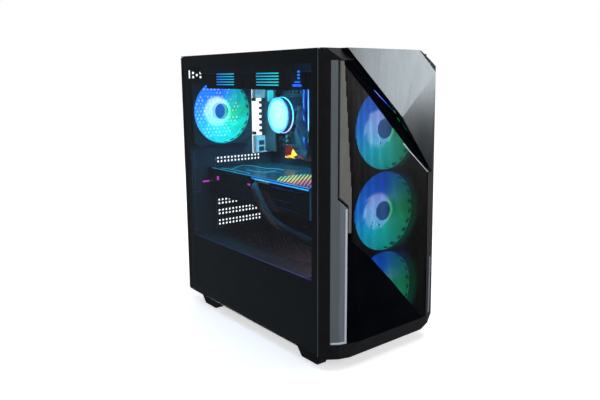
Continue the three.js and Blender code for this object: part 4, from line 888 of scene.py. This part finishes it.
# ---------------------------------------------------------------- motherboard
# A black circuit board on brass posts carries heat sinks, rows of coils and capacitors, four
# memory slots, card slots and connectors; its rear sockets look out through the rear panel.
BOARD_X = 192.9
board_black = finish("board_black", (0.004, 0.006, 0.009), (0.012, 0.017, 0.024), 260, (0.28, 0.5), 0.00005,
                     stretch=(1, 1, 3))
dress("motherboard", board_black)
dress("vrm_heatsink", fin_metal)
dark_part = finish("component_black", (0.012, 0.012, 0.014), (0.03, 0.03, 0.034), 1200, (0.35, 0.55),
                   0.00002)
grey_part = finish("component_grey", (0.16, 0.17, 0.18), (0.30, 0.31, 0.32), 700, (0.3, 0.45), 0.00001, 0.7)
coils = [block((186.2, BOARD_X), (y, y + 8.4), (z, z + 8.4), 0.8) for y, z in
         [(343, 262 + 11.5 * n) for n in range(8)] + [(250 + 11.5 * n, 366) for n in range(6)]]
coils += [block((188, BOARD_X), (y, y + 5), (z, z + 5), 0.4)
          for y, z in [(332, 264 + 11.5 * n) for n in range(8)]]
coils += [block((186.5, BOARD_X), (y, y + 6.2), (265, 399), 0.8) for y in (186, 195.4, 213.6, 222.8)]
coils += [block((181, BOARD_X), (142.6, 152), (298, 350), 0.8)]
coils += [block((182, BOARD_X), (168, 300), (z - 4, z + 4), 0.8) for z in (222.6, 181.9)]
coils += [block((186, BOARD_X), (y, y + 12), (111, 118), 0.5) for y in (170, 190, 210, 230, 250, 270)]
coils += [block((184, BOARD_X), (142.4, 160), (z, z + 14), 0.5) for z in (230, 212)]
coils += [block((183.5, BOARD_X), (260, 310), (303, 353), 1.0)]
assemble("board_parts", coils, dark_part)
cans = [turned([(0, 3.1), (0.4, 3.4), (6.6, 3.4), (7.1, 3.0), (7.1, 1)], (BOARD_X, y, z), (-1, 0, 0), 12)
        for y, z in
        [(322, 266 + 9.2 * n) for n in range(9)] + [(238, 268 + 9.2 * n) for n in range(4)]
        + [(312 - 9 * n, 251) for n in range(4)]
        + [(180, 240 + 9 * n) for n in range(5)]]
assemble("capacitors", cans, grey_part)
legs = [turned([(0, 2.6), (2.2, 2.6)], (194.7, y, z), (1, 0, 0), 6) for y in (148, 262, 377)
        for z in (116, 250, 405)]
assemble("board_posts", legs,
         finish("brass", (0.55, 0.38, 0.14), (0.70, 0.50, 0.20), 500, (0.25, 0.4), metallic=1.0))

# Rear sockets: the shell of each block is pale plate that also glows faintly, a painted glow, and each
# mouth a dark recess.
shell, mouths = [], []
for low, high in ((251, 284), (357, 376), (378, 393)):
    shell.append(block((150.2, 193), (372, 385.2), (low, high), 0.6))
for low, high in ((286.5, 318), (320, 340), (342, 355.5)):
    shell.append(block((177.5, 193), (366, 385.2), (low, high), 0.6))
for z in (292, 301, 310, 325, 334, 348):
    mouths.append(block((175.6, 177.7), (368, 382), (z - 2.6, z + 2.6), 0.3))
for low, x in ((254, 156), (266, 156), (254, 172), (266, 172)):
    mouths.append(block((x, x + 12), (371, 372.3), (low, low + 9), 0.3))
for z in (349, 338, 327, 316, 305, 294):
    mouths.append(block((165, 177), (374, 384.8), (z - 3.4, z + 1.6), 0.3))
mouths += [block((148.9, 153), (376, 384.8), (z, z + 6), 0.3) for z in (351, 286)]
# The plate's pale colour is its own; its faint emission is painted light.
plate_with_painted_glow = finish("socket_plate_painted_glow", (0.45, 0.46, 0.44), (0.62, 0.62, 0.58), 500, (0.3, 0.45), metallic=0.5,
                     Emission_Color=(0.7, 0.85, 0.9, 1), Emission_Strength=0.10)
assemble("socket_shells", shell, plate_with_painted_glow)
assemble("socket_mouths", mouths, dark_part)
cover_teal = glowing("cover_teal", (0.0, 0.30, 0.30), (0.01, 0.62, 0.55), along_z(352), along_z(374), 2,
                     1.6)
assemble("io_cover_shell",
         [block((162, 175.4), (338.9, 384.7), (374, 404), 1.2),
          block((170.5, 175.4), (338.9, 384.7), (254, 375), 1.0)],
         dark_part, stands_for=("io_cover",))
assemble("io_cover_light", [block((157, 169.4), (339, 344), (351, 372), 1.2)], cover_teal)

# Memory: two sticks in black spreaders; a light bar runs along the front one's outer edge.
# The spreaders' dark blue is painted light: the glow of the light bars on their black metal.
spreader = finish("memory_spreader_painted_glow", (0.010, 0.03, 0.10), (0.016, 0.05, 0.15), 500, (0.25, 0.4), 0.00001,
                  0.4)
sticks = [block((153.5, 187.5), (y + 0.9, y + 6.6), (265, 399), 0.8) for y in (204, 222.5)]
for y in (204, 222.5):
    sticks += [block((155, 183), (y + 0.3, y + 7.2), (270 + 21 * k, 284 + 21 * k), 0.7) for k in range(6)]
assemble("memory_sticks", sticks, spreader, stands_for=("memory_module",))
bar_light = glowing("memory_light", (0.30, 0.70, 1.0), (0.01, 0.10, 0.85), along_z(300), along_z(392), 2,
                    3.0)
assemble("memory_light_bars", [block((149.2, 154), (y + 1.6, y + 5.9), (266, 398), 1.2) for y in (204,)],
         bar_light)

# A flat heat sink over the drive below the pump: dark red light, a yellow facet in its middle.
M2_X = 177.9
dress("m2_heatsink", dark_part, 0.4)


def facet(outline, x, tall):
    """A flat tile of (y, z) corners standing on a plane of constant x, towards the glass."""
    p = np.asarray(outline, float)
    rings = [np.stack([p[:, 0] * 0 + level, p[:, 0], p[:, 1]], -1) for level in (x, x - tall)]
    return loft(rings)


red_light = glowing("red_light", (0.30, 0.006, 0.004), (0.12, 0.002, 0.004), along_y(258), along_y(315), 1,
                    1.6, (0.01, 0.002, 0.002))
amber_light = glowing("amber_light", (0.95, 0.62, 0.05), (0.95, 0.42, 0.05), along_y(280), along_y(312), 1,
                      2.8, (0.02, 0.01, 0.002))
assemble("board_red_light",
         [facet([(314, 269), (292, 268), (286, 258), (301, 246), (314, 250)], M2_X - 0.2, 0.8),
          facet([(284, 253), (262, 247), (226, 246), (226, 250.5), (262, 252)],
                M2_X - 0.2, 0.8)], red_light)
assemble("board_amber_light", [facet([(314, 248.4), (300, 245.2), (314, 245)], M2_X - 0.3, 1.0),
                               facet([(290, 263.5), (277, 252.6), (298, 246.3)], M2_X - 0.3, 1.0),
                               facet([(308, 249), (296, 246.4), (283, 245.8), (299, 251)], M2_X - 0.3,
                                     1.0)], amber_light)


# ---------------------------------------------------------------- graphics card
# A long card hangs level from the rear slots. Its metal backplate is up, cut by slanting vents at the front
# end; glowing strips on the vents and thin glowing lines round its edge are painted reflections of the
# case's coloured light, and a blue line and blue ribs on its side are painted highlights. Two fans blow
# down through the shroud.
CARD_TOP = 230.3
back_metal = finish("backplate_black", (0.012, 0.030, 0.036), (0.02, 0.05, 0.06), 900, (0.16, 0.3), 0.00001,
                    0.6, (1, 0.03, 1))
dress("gpu_backplate", back_metal)
dress("gpu_cooler", finish("card_shroud", (0.008, 0.008, 0.010), (0.018, 0.018, 0.022), 1500, (0.25, 0.42),
                           0.00002), 0.8)


def strip(points, width, tall, z):
    """A level line of light: a flat strip through (x, y) points, standing up from height z."""
    p = np.asarray(points, float)
    way = np.diff(p, axis=0)
    way /= np.linalg.norm(way, axis=1)[:, None]
    before, after = np.vstack([way[:1], way]), np.vstack([way, way[-1:]])
    mean = before + after
    mean /= np.linalg.norm(mean, axis=1)[:, None]
    across = np.stack([-mean[:, 1], mean[:, 0]], -1) / (mean * after).sum(1)[:, None]
    side, rise = np.array([-0.5, -0.4, 0.4, 0.5]) * width, np.array([0, tall, tall, 0])
    spot = p[:, None] + across[:, None] * side[:, None]
    return loft(np.stack([spot[..., 0], spot[..., 1], z + rise + 0 * spot[..., 0]], -1))


# Painted reflections: thin glowing teal lines on the backplate stand for the coloured light it reflects.
card_lines = [strip([(50.2, 372), (50.2, 236)], 1.8, 0.5, CARD_TOP - 0.1),
              strip([(60, 352), (66, 346), (66, 270), (60, 262)], 1.3, 0.4, CARD_TOP - 0.1),
              strip([(112, 366), (122, 350), (122, 300), (134, 284), (134, 262)], 2.0, 0.4, CARD_TOP - 0.1),
              strip([(66, 330), (112, 366)], 1.0, 0.4, CARD_TOP - 0.1),
              strip([(86, 310), (86, 276), (100, 262), (120, 262)], 1.2, 0.4, CARD_TOP - 0.1)]
teal_painted_reflection = glowing("teal_painted_reflection", (0.01, 0.30, 0.55), (0.01, 0.36, 0.40), along_y(240), along_y(370), 1, 1.7)
assemble("card_teal_painted_reflections", card_lines, teal_painted_reflection)
# Painted highlight: a glowing blue line along the backplate's edge and the card's side stands for blue
# light caught on those edges.
blue_painted_highlight = glowing("blue_painted_highlight", (0.03, 0.38, 0.95), (0.01, 0.20, 0.85), along_y(80), along_y(236), 1, 2.4)
assemble("card_blue_painted_highlight",
         [strip([(50.2, 236), (50.2, 80.5)], 1.8, 0.5, CARD_TOP - 0.1),
          block((48.2, 49.2), (80, 236), (226.5, 228.4), 0.3)],
         blue_painted_highlight)


def make_rainbow_reflection():
    """Painted reflection on the vents: its hue runs green, yellow, orange, red and violet from rear to
    front.
    """
    made = finish("rainbow_painted_reflection", (0.03, 0.03, 0.03), (0.05, 0.05, 0.05), 500, (0.3, 0.4))
    tree = made.node_tree
    where = node(tree, "TexCoord")
    parts = node(tree, "SeparateXYZ", {0: where.outputs["Object"]})
    share = node(tree, "MapRange", {0: parts.outputs[1], 1: along_y(84), 2: along_y(216)})
    hues = node(tree, "ValToRGB", {0: share.outputs[0]})
    stops = [(0.0, (0.30, 0.02, 0.35)), (0.2, (0.55, 0.04, 0.05)), (0.42, (0.85, 0.22, 0.03)),
             (0.62, (0.85, 0.70, 0.04)), (0.8, (0.20, 0.65, 0.05)), (1.0, (0.01, 0.40, 0.30))]
    fill_ramp(hues.color_ramp, stops)
    shader = tree.nodes["Principled BSDF"]
    tree.links.new(hues.outputs[0], shader.inputs["Emission Color"])
    shader.inputs["Emission Strength"].default_value = 1.4
    return made


# The vents glow in rainbow hues: painted reflections of the case's coloured light.
vents = [strip([(57, y), (57 + reach, y + reach)], 3.4, 0.5, CARD_TOP - 0.1)
         for y, reach in zip(np.arange(86, 176, 8.6), (86, 84, 82, 78, 74, 70, 62, 54, 46, 38, 30))]
assemble("card_vents", vents, make_rainbow_reflection())
plug = finish("plug_ivory", (0.32, 0.30, 0.16), (0.45, 0.42, 0.24), 700, (0.35, 0.5))
assemble("card_socket", [block((46.6, 49.5), (184, 226), (222.6, 227.6), 0.6)], plug)
# Of the magenta marks, the third, on the rear panel, is painted light: a glow cast there by the card's
# lights.
magenta_light = glowing("magenta_light", (0.55, 0.02, 0.50), (0.70, 0.04, 0.60), along_y(230), along_y(380),
                        1, 1.5)
assemble("card_magenta_lights",
         [block((48.0, 49.1), (241, 249), (213.5, 216.5), 0.4),
          block((48.0, 49.1), (347, 353), (210, 217), 0.4),
          block((36, 58), (383.8, 384.8), (202.5, 205.5), 0.4)], magenta_light)
# The ribs' dark blue is painted light: blue light lying along the bevels of the card's side.
panel_lines = [block((47.6, 49.2), (y0, y1), (z0, z1), 0.5) for y0, y1, z0, z1 in
               ((92, 200, 219, 221), (92, 190, 199, 201.4), (96, 186, 186, 190), (206, 236, 188, 216),
                (242, 372, 186, 188.5))]
assemble("card_side_ribs", panel_lines,
         finish("rib_painted_blue_light", (0.010, 0.03, 0.08), (0.02, 0.05, 0.12), 500, (0.2, 0.35), metallic=0.6))
CARD_FAN_Y, CARD_FAN_X, CARD_FAN_BORE = (130.7, 232.7), 112.9, 43.4
dark_blade = finish("blade_black", (0.010, 0.010, 0.012), (0.02, 0.02, 0.023), 900, (0.25, 0.4))
for n, y in enumerate(CARD_FAN_Y):
    drawn = impeller_parts(CARD_FAN_BORE, 16.8, 9, 11)
    assemble(f"gpu_impeller_{n + 1}_wheel",
             [(p * (1, -1, -1) + (CARD_FAN_X, y, 190.4), f) for p, f in drawn], dark_blade,
             f"gpu_fan_{n + 1}_rotor", (f"gpu_impeller_{n + 1}",), 40)
dress("gpu_bracket", nickel)
CABLE = [(54.9, 219.7, 217.3), (44.9, 217.7, 216.3), (31.9, 196.7, 209.3), (28.9, 148.7, 172.3),
         (46.9, 90.7, 150.3), (74, 68, 133), (78, 67, 95)]
sleeve = woven("cable_sleeve", (0.008, 0.008, 0.009), (0.02, 0.02, 0.022), 260.0)
piece, line, length = hose("gpu_power_cable_sleeve", CABLE, 7.0, sleeve, 60,
                           stands_for=("gpu_power_cable",))


# ---------------------------------------------------------------- power supply
# A steel box at the bottom rear, under the shroud: mains socket and rocker switch on its back, a
# large fan behind a wire guard underneath. Three earthed blades stand in the socket.
dress("psu_power_inlet", dark_part, 0.4)
dress("psu_switch", finish("rocker_black", (0.010, 0.010, 0.010), (0.02, 0.02, 0.02), 900, (0.3, 0.4)), 0.4)
pins = [block((x, x + 2), (372, 383), (z, z + 5), 0.3) for x, z in ((46, 65), (62, 65), (54, 72))]
assemble("inlet_pins", pins, nickel)
psu_wheel = [(p * (1, -1, -1) + (100, 304.7, 12.5 + 17), f) for p, f in impeller_parts(60, 20, 14, 7)]
assemble("psu_impeller_wheel", psu_wheel, dark_blade, "psu_fan_rotor", ("psu_impeller",), 40)


def wire_ring(centre, radius, thick, sides=56):
    """A closed ring of round wire lying level."""
    a = np.arange(sides) * 2 * np.pi / sides
    b = np.arange(6) * 2 * np.pi / 6
    r = radius + thick * np.cos(b)
    p = np.stack([centre[0] + r * np.cos(a)[:, None], centre[1] + r * np.sin(a)[:, None],
                  centre[2] + thick * np.sin(b) + 0 * a[:, None]], -1)
    i, j = np.mgrid[0:sides, 0:6]
    k, l = i * 6 + j, i * 6 + (j + 1) % 6
    faces = np.stack([k, l, (l + 6) % (sides * 6), (k + 6) % (sides * 6)], -1).reshape(-1, 4).tolist()
    return p.reshape(-1, 3), faces


guard = [wire_ring((100, 304.7, 9.4), r, 0.8) for r in np.arange(10, 66, 9)]
guard += [turned([(0, 0.8), (66, 0.8)], (100, 304.7, 10.4), (np.cos(a), np.sin(a), 0), 6)
          for a in np.radians([45, 135, 225, 315])]
assemble("psu_fan_guard", guard, nickel)
assemble("psu_screws", [screw(x, 386.1, z, (0, 1, 0), 3.2, 1.6)
                        for x, z in ((21, 20), (21, 86), (179, 20), (179, 86))], nickel)


# ---------------------------------------------------------------- lamps inside the case
# Light guides run along the upper fans' frames; small lamps stand for the glow that the fans, the
# pump and the memory throw on what is near them.
guide_light = glowing("guide_light", (0.01, 0.42, 0.55), (0.01, 0.16, 0.62), along_y(232), along_y(286), 1,
                      2.4)
guide_light_2 = glowing("guide_light_front", (0.02, 0.55, 0.60), (0.01, 0.30, 0.50), along_y(110),
                        along_y(166), 1, 2.4)
for label, light, span in (("rear", guide_light, (232, 287)), ("front", guide_light_2, (108, 167))):
    assemble(f"fan_guide_lines_{label}",
             [block((15.0, 16.2), span, (383.6 + 4.3 * k, 385.2 + 4.3 * k), 0.3) for k in range(5)], light)
assemble("fan_guide_backs",
         [block((15.6, 16.4), (y0, y1), (378.5, 402), 0.3) for y0, y1 in ((90, 200), (212, 322))],
         fan_plastic)
corner_blue = glowing("corner_blue", (0.01, 0.10, 0.85), (0.02, 0.20, 0.95), along_z(380), along_z(402), 2,
                      2.2)
assemble("corner_blue_light",
         [block((15, 16.6), (54, 74), (382.5, 386), 0.6), block((15, 16.6), (57, 69), (388, 390), 0.5),
          *[block((15, 16.6), (58, 62.5), (z, z + 2.6), 0.5)
            for z in (393, 397.5, 402)]], corner_blue)
assemble("shroud_edge_light", [block((10.2, 11.4), (18, 372), (107.1, 107.9), 0.2)],
         glowing("shroud_light", (0.055, 0.02, 0.22), (0.004, 0.004, 0.012), along_y(60), along_y(330), 1,
                 1.5))


def glow_lamp(name, place, aim, size, power, colour):
    """A small unseen panel of light inside the case."""
    lamp = soft_box(name, at(place).tolist(), at(aim).tolist(), size, power, colour)
    lamp.visible_glossy = False
    lamp.visible_transmission = False
    return lamp


glow_lamp("rear_fan_glow", (66, 340, 335), (150, 180, 250), (0.10, 0.10), 1.7, (0.10, 0.75, 1.0))
glow_lamp("top_fan_glow", (76, 200, 372), (120, 220, 120), (0.10, 0.22), 1.8, (0.10, 0.45, 1.0))
glow_lamp("pump_glow", (110, 285, 328), (190, 275, 320), (0.05, 0.05), 1.4, (0.25, 0.80, 1.0))
glow_lamp("front_fan_glow", (112, 30, 230), (112, 300, 230), (0.10, 0.30), 1.2, (0.15, 0.45, 1.0))
glow_lamp("memory_glow", (150, 175, 330), (190, 240, 320), (0.03, 0.12), 1.2, (0.05, 0.25, 1.0))
glow_lamp("card_glow", (100, 200, 300), (100, 200, 225), (0.10, 0.20), 1.2, (0.10, 0.65, 0.85))
glow_lamp("shroud_glow", (60, 120, 160), (60, 160, 100), (0.10, 0.20), 0.35, (0.9, 0.45, 0.35))


# ---------------------------------------------------------------- shroud and fixings
# The shroud's top is pierced by a field of small holes over the supply; cables leave it through a
# rubber-lined hole. Knurled screws hold the side panel, and rubber grommets show on the tray.
field_x, field_y = np.mgrid[0:13, 0:27]
field = np.stack([62 + (field_x + field_y % 2 * 0.5) * 8.4, 112 + field_y * 7.3], -1).reshape(-1, 2)
cut_sheet("shroud_vents", outline_box((52, 178), (104, 312)), [outline_circle(c, 2.9, 6) for c in field],
          lambda p: np.stack([p[:, 0], p[:, 1], p[:, 0] * 0 + 107.8], -1), 0.9,
          finish("vent_paint", (0.016, 0.015, 0.015), (0.030, 0.028, 0.028), 1500, (0.25, 0.4), 0.00002))
lining = [block(x, y, (106.2, 108.6), 0.8)
          for x, y in (((56, 58.4), (50, 84)), ((97.6, 100), (50, 84)), ((56, 100), (50, 52.4)),
                       ((56, 100), (81.6, 84)))]
assemble("shroud_grommet", lining, rubber)
oval = [turned([(0, 5.4), (0.6, 6.2), (2.2, 6.2), (2.8, 5.2)], (200.9, 116, z), (-1, 0, 0), 16)
        for z in (140, 232, 324)]
assemble("tray_grommets", oval, rubber)


def knurled(x, y, z, axis, radius=5.0, tall=7.0, teeth=18):
    """A thumb screw: its rim's radius follows a wave round the axis, and its face is dished."""
    a = np.arange(teeth * 2) * np.pi / teeth
    wave = 1 + 0.035 * np.cos(teeth * a)
    along = np.array(Vector(axis).normalized())
    other = np.array(Vector(axis).orthogonal().normalized())
    third = np.cross(along, other)
    profile = [(0, 0.62), (1.2, 0.62), (1.4, 0.96), (2.0, 1.0), (tall - 0.7, 1.0), (tall, 0.93),
               (tall, 0.5), (tall - 0.8, 0.42)]
    rings = [np.array([x, y, z]) + t * along
             + r * radius * wave[:, None] * (np.cos(a)[:, None] * other + np.sin(a)[:, None] * third)
             for t, r in profile]
    return loft(np.array(rings))


assemble("card_bay_screws", [knurled(205, 384.9, z, (0, -1, 0), 4.4, 5) for z in (120, 240)], nickel)
assemble("side_panel_screws", [knurled(213.5, 386.1, z, (0, 1, 0), 2.9, 2.6) for z in (60, 372)], nickel)
assemble("rear_fan_screws",
         [screw(68 + sx * 52.5, 386.1, 335 + sz * 52.5, (0, 1, 0), 3.2, 1.6) for sx in (-1, 1)
          for sz in (-1, 1)], nickel)


# ---------------------------------------------------------------- top controls and filters
# A gloss strip at the roof's front edge holds the power and reset keys, a sound jack and two USB
# sockets. A flat mesh lies over the roof opening, and a framed mesh slides in under the supply.
dress("io_block", charcoal, 0.5)
key_face = finish("key_black", (0.006, 0.006, 0.007), (0.012, 0.012, 0.014), 900, (0.12, 0.22))
dress("power_button", key_face, 0.4)
dress("reset_button", key_face, 0.3)
io_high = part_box("io_block")[1]
io_top = (io_high.z - CORNER[2]) * 1000
IO_Y = 24.3
for name, radius, body in (("power", 8.0, "power_key"), ("reset", 5.0, "reset_key")):
    low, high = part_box(name + "_button")
    top = (high.z - CORNER[2]) * 1000
    middle_x = ((low.x + high.x) / 2 - CORNER[0]) * 1000
    middle_y = ((low.y + high.y) / 2 - CORNER[1]) * 1000
    mark = turned([(-0.3, radius * 0.42), (0.05, radius * 0.42), (0.05, radius * 0.3),
                   (-0.3, radius * 0.3)], (middle_x, middle_y, top), (0, 0, 1), 28)
    closed = (mark[0], mark[1][:-2] + [[84 + k, 84 + (k + 1) % 28, (k + 1) % 28, k] for k in range(28)])
    assemble(name + "_key_ring", [closed], nickel, body)
tongues = [block((x + 1.5, x + 3.1), (IO_Y - 4.6, IO_Y + 4.6), (io_top - 8.5, io_top - 0.6), 0.3)
           for x in (126.3, 144.3)]
assemble("usb_tongues", tongues,
         finish("usb_blue", (0.01, 0.06, 0.35), (0.02, 0.09, 0.45), 500, (0.3, 0.45)))


def mesh_finish(name, pitch):
    """Woven filter cloth: two sets of fine ridges cross at right angles."""
    made = finish(name, (0.006, 0.006, 0.007), (0.020, 0.020, 0.022), 900, (0.5, 0.7))
    tree = made.node_tree
    where = node(tree, "TexCoord")
    parts = node(tree, "SeparateXYZ", {0: where.outputs["Object"]})
    waves = []
    for axis in (0, 1):
        turn = node(tree, "Math", {0: parts.outputs[axis], 1: 2 * np.pi / pitch}, operation="MULTIPLY")
        waves.append(node(tree, "Math", {0: turn.outputs[0]}, operation="COSINE"))
    weave = node(tree, "Math", {0: waves[0].outputs[0], 1: waves[1].outputs[0]}, operation="MAXIMUM")
    bump = node(tree, "Bump", {"Strength": 1.0, "Distance": 0.0004, "Height": weave.outputs[0]})
    shader = tree.nodes["Principled BSDF"]
    tree.links.new(bump.outputs[0], shader.inputs["Normal"])
    shade = node(tree, "MapRange", {0: weave.outputs[0], 1: -0.2, 2: 1.0, 3: 0.0, 4: 1.0})
    tint = node(tree, "Mix", {0: shade.outputs[0], 6: (0.002, 0.002, 0.002, 1), 7: (0.03, 0.03, 0.032, 1)},
                data_type="RGBA")
    tree.links.new(tint.outputs[2], shader.inputs["Base Color"])
    return made


cloth = mesh_finish("filter_cloth", 0.0022)
for name in ("top_dust_filter", "psu_filter"):
    dress(name, cloth)
for name, body, edge in (("top_dust_filter", "top_filter", 8), ("psu_filter", "bottom_filter", 6)):
    low, high = ((np.array(c) - CORNER) * 1000 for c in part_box(name))
    z = (high[2] - 0.5, high[2] - 0.02) if name == "top_dust_filter" else (low[2] + 0.02, low[2] + 0.5)
    bars = [block((low[0] + 0.05, low[0] + edge), (low[1] + 0.05, high[1] - 0.05), z, 0.2),
            block((high[0] - edge, high[0] - 0.05), (low[1] + 0.05, high[1] - 0.05), z, 0.2)]
    bars += [block((low[0] + edge, high[0] - edge), y, z, 0.2)
             for y in ((low[1] + 0.05, low[1] + edge), (high[1] - edge, high[1] - 0.05))]
    assemble(name + "_frame", bars, charcoal, body)


# ---------------------------------------------------------------- feet
# Four moulded feet of dark plastic, tapering towards their flat soles.
for name in ("foot_front_left", "foot_rear_left", "foot_front_right", "foot_rear_right"):
    dress(name, finish(name + "_plastic", (0.008, 0.008, 0.009), (0.016, 0.016, 0.018), 1600, (0.4, 0.55),
                       0.00003), 0.8)
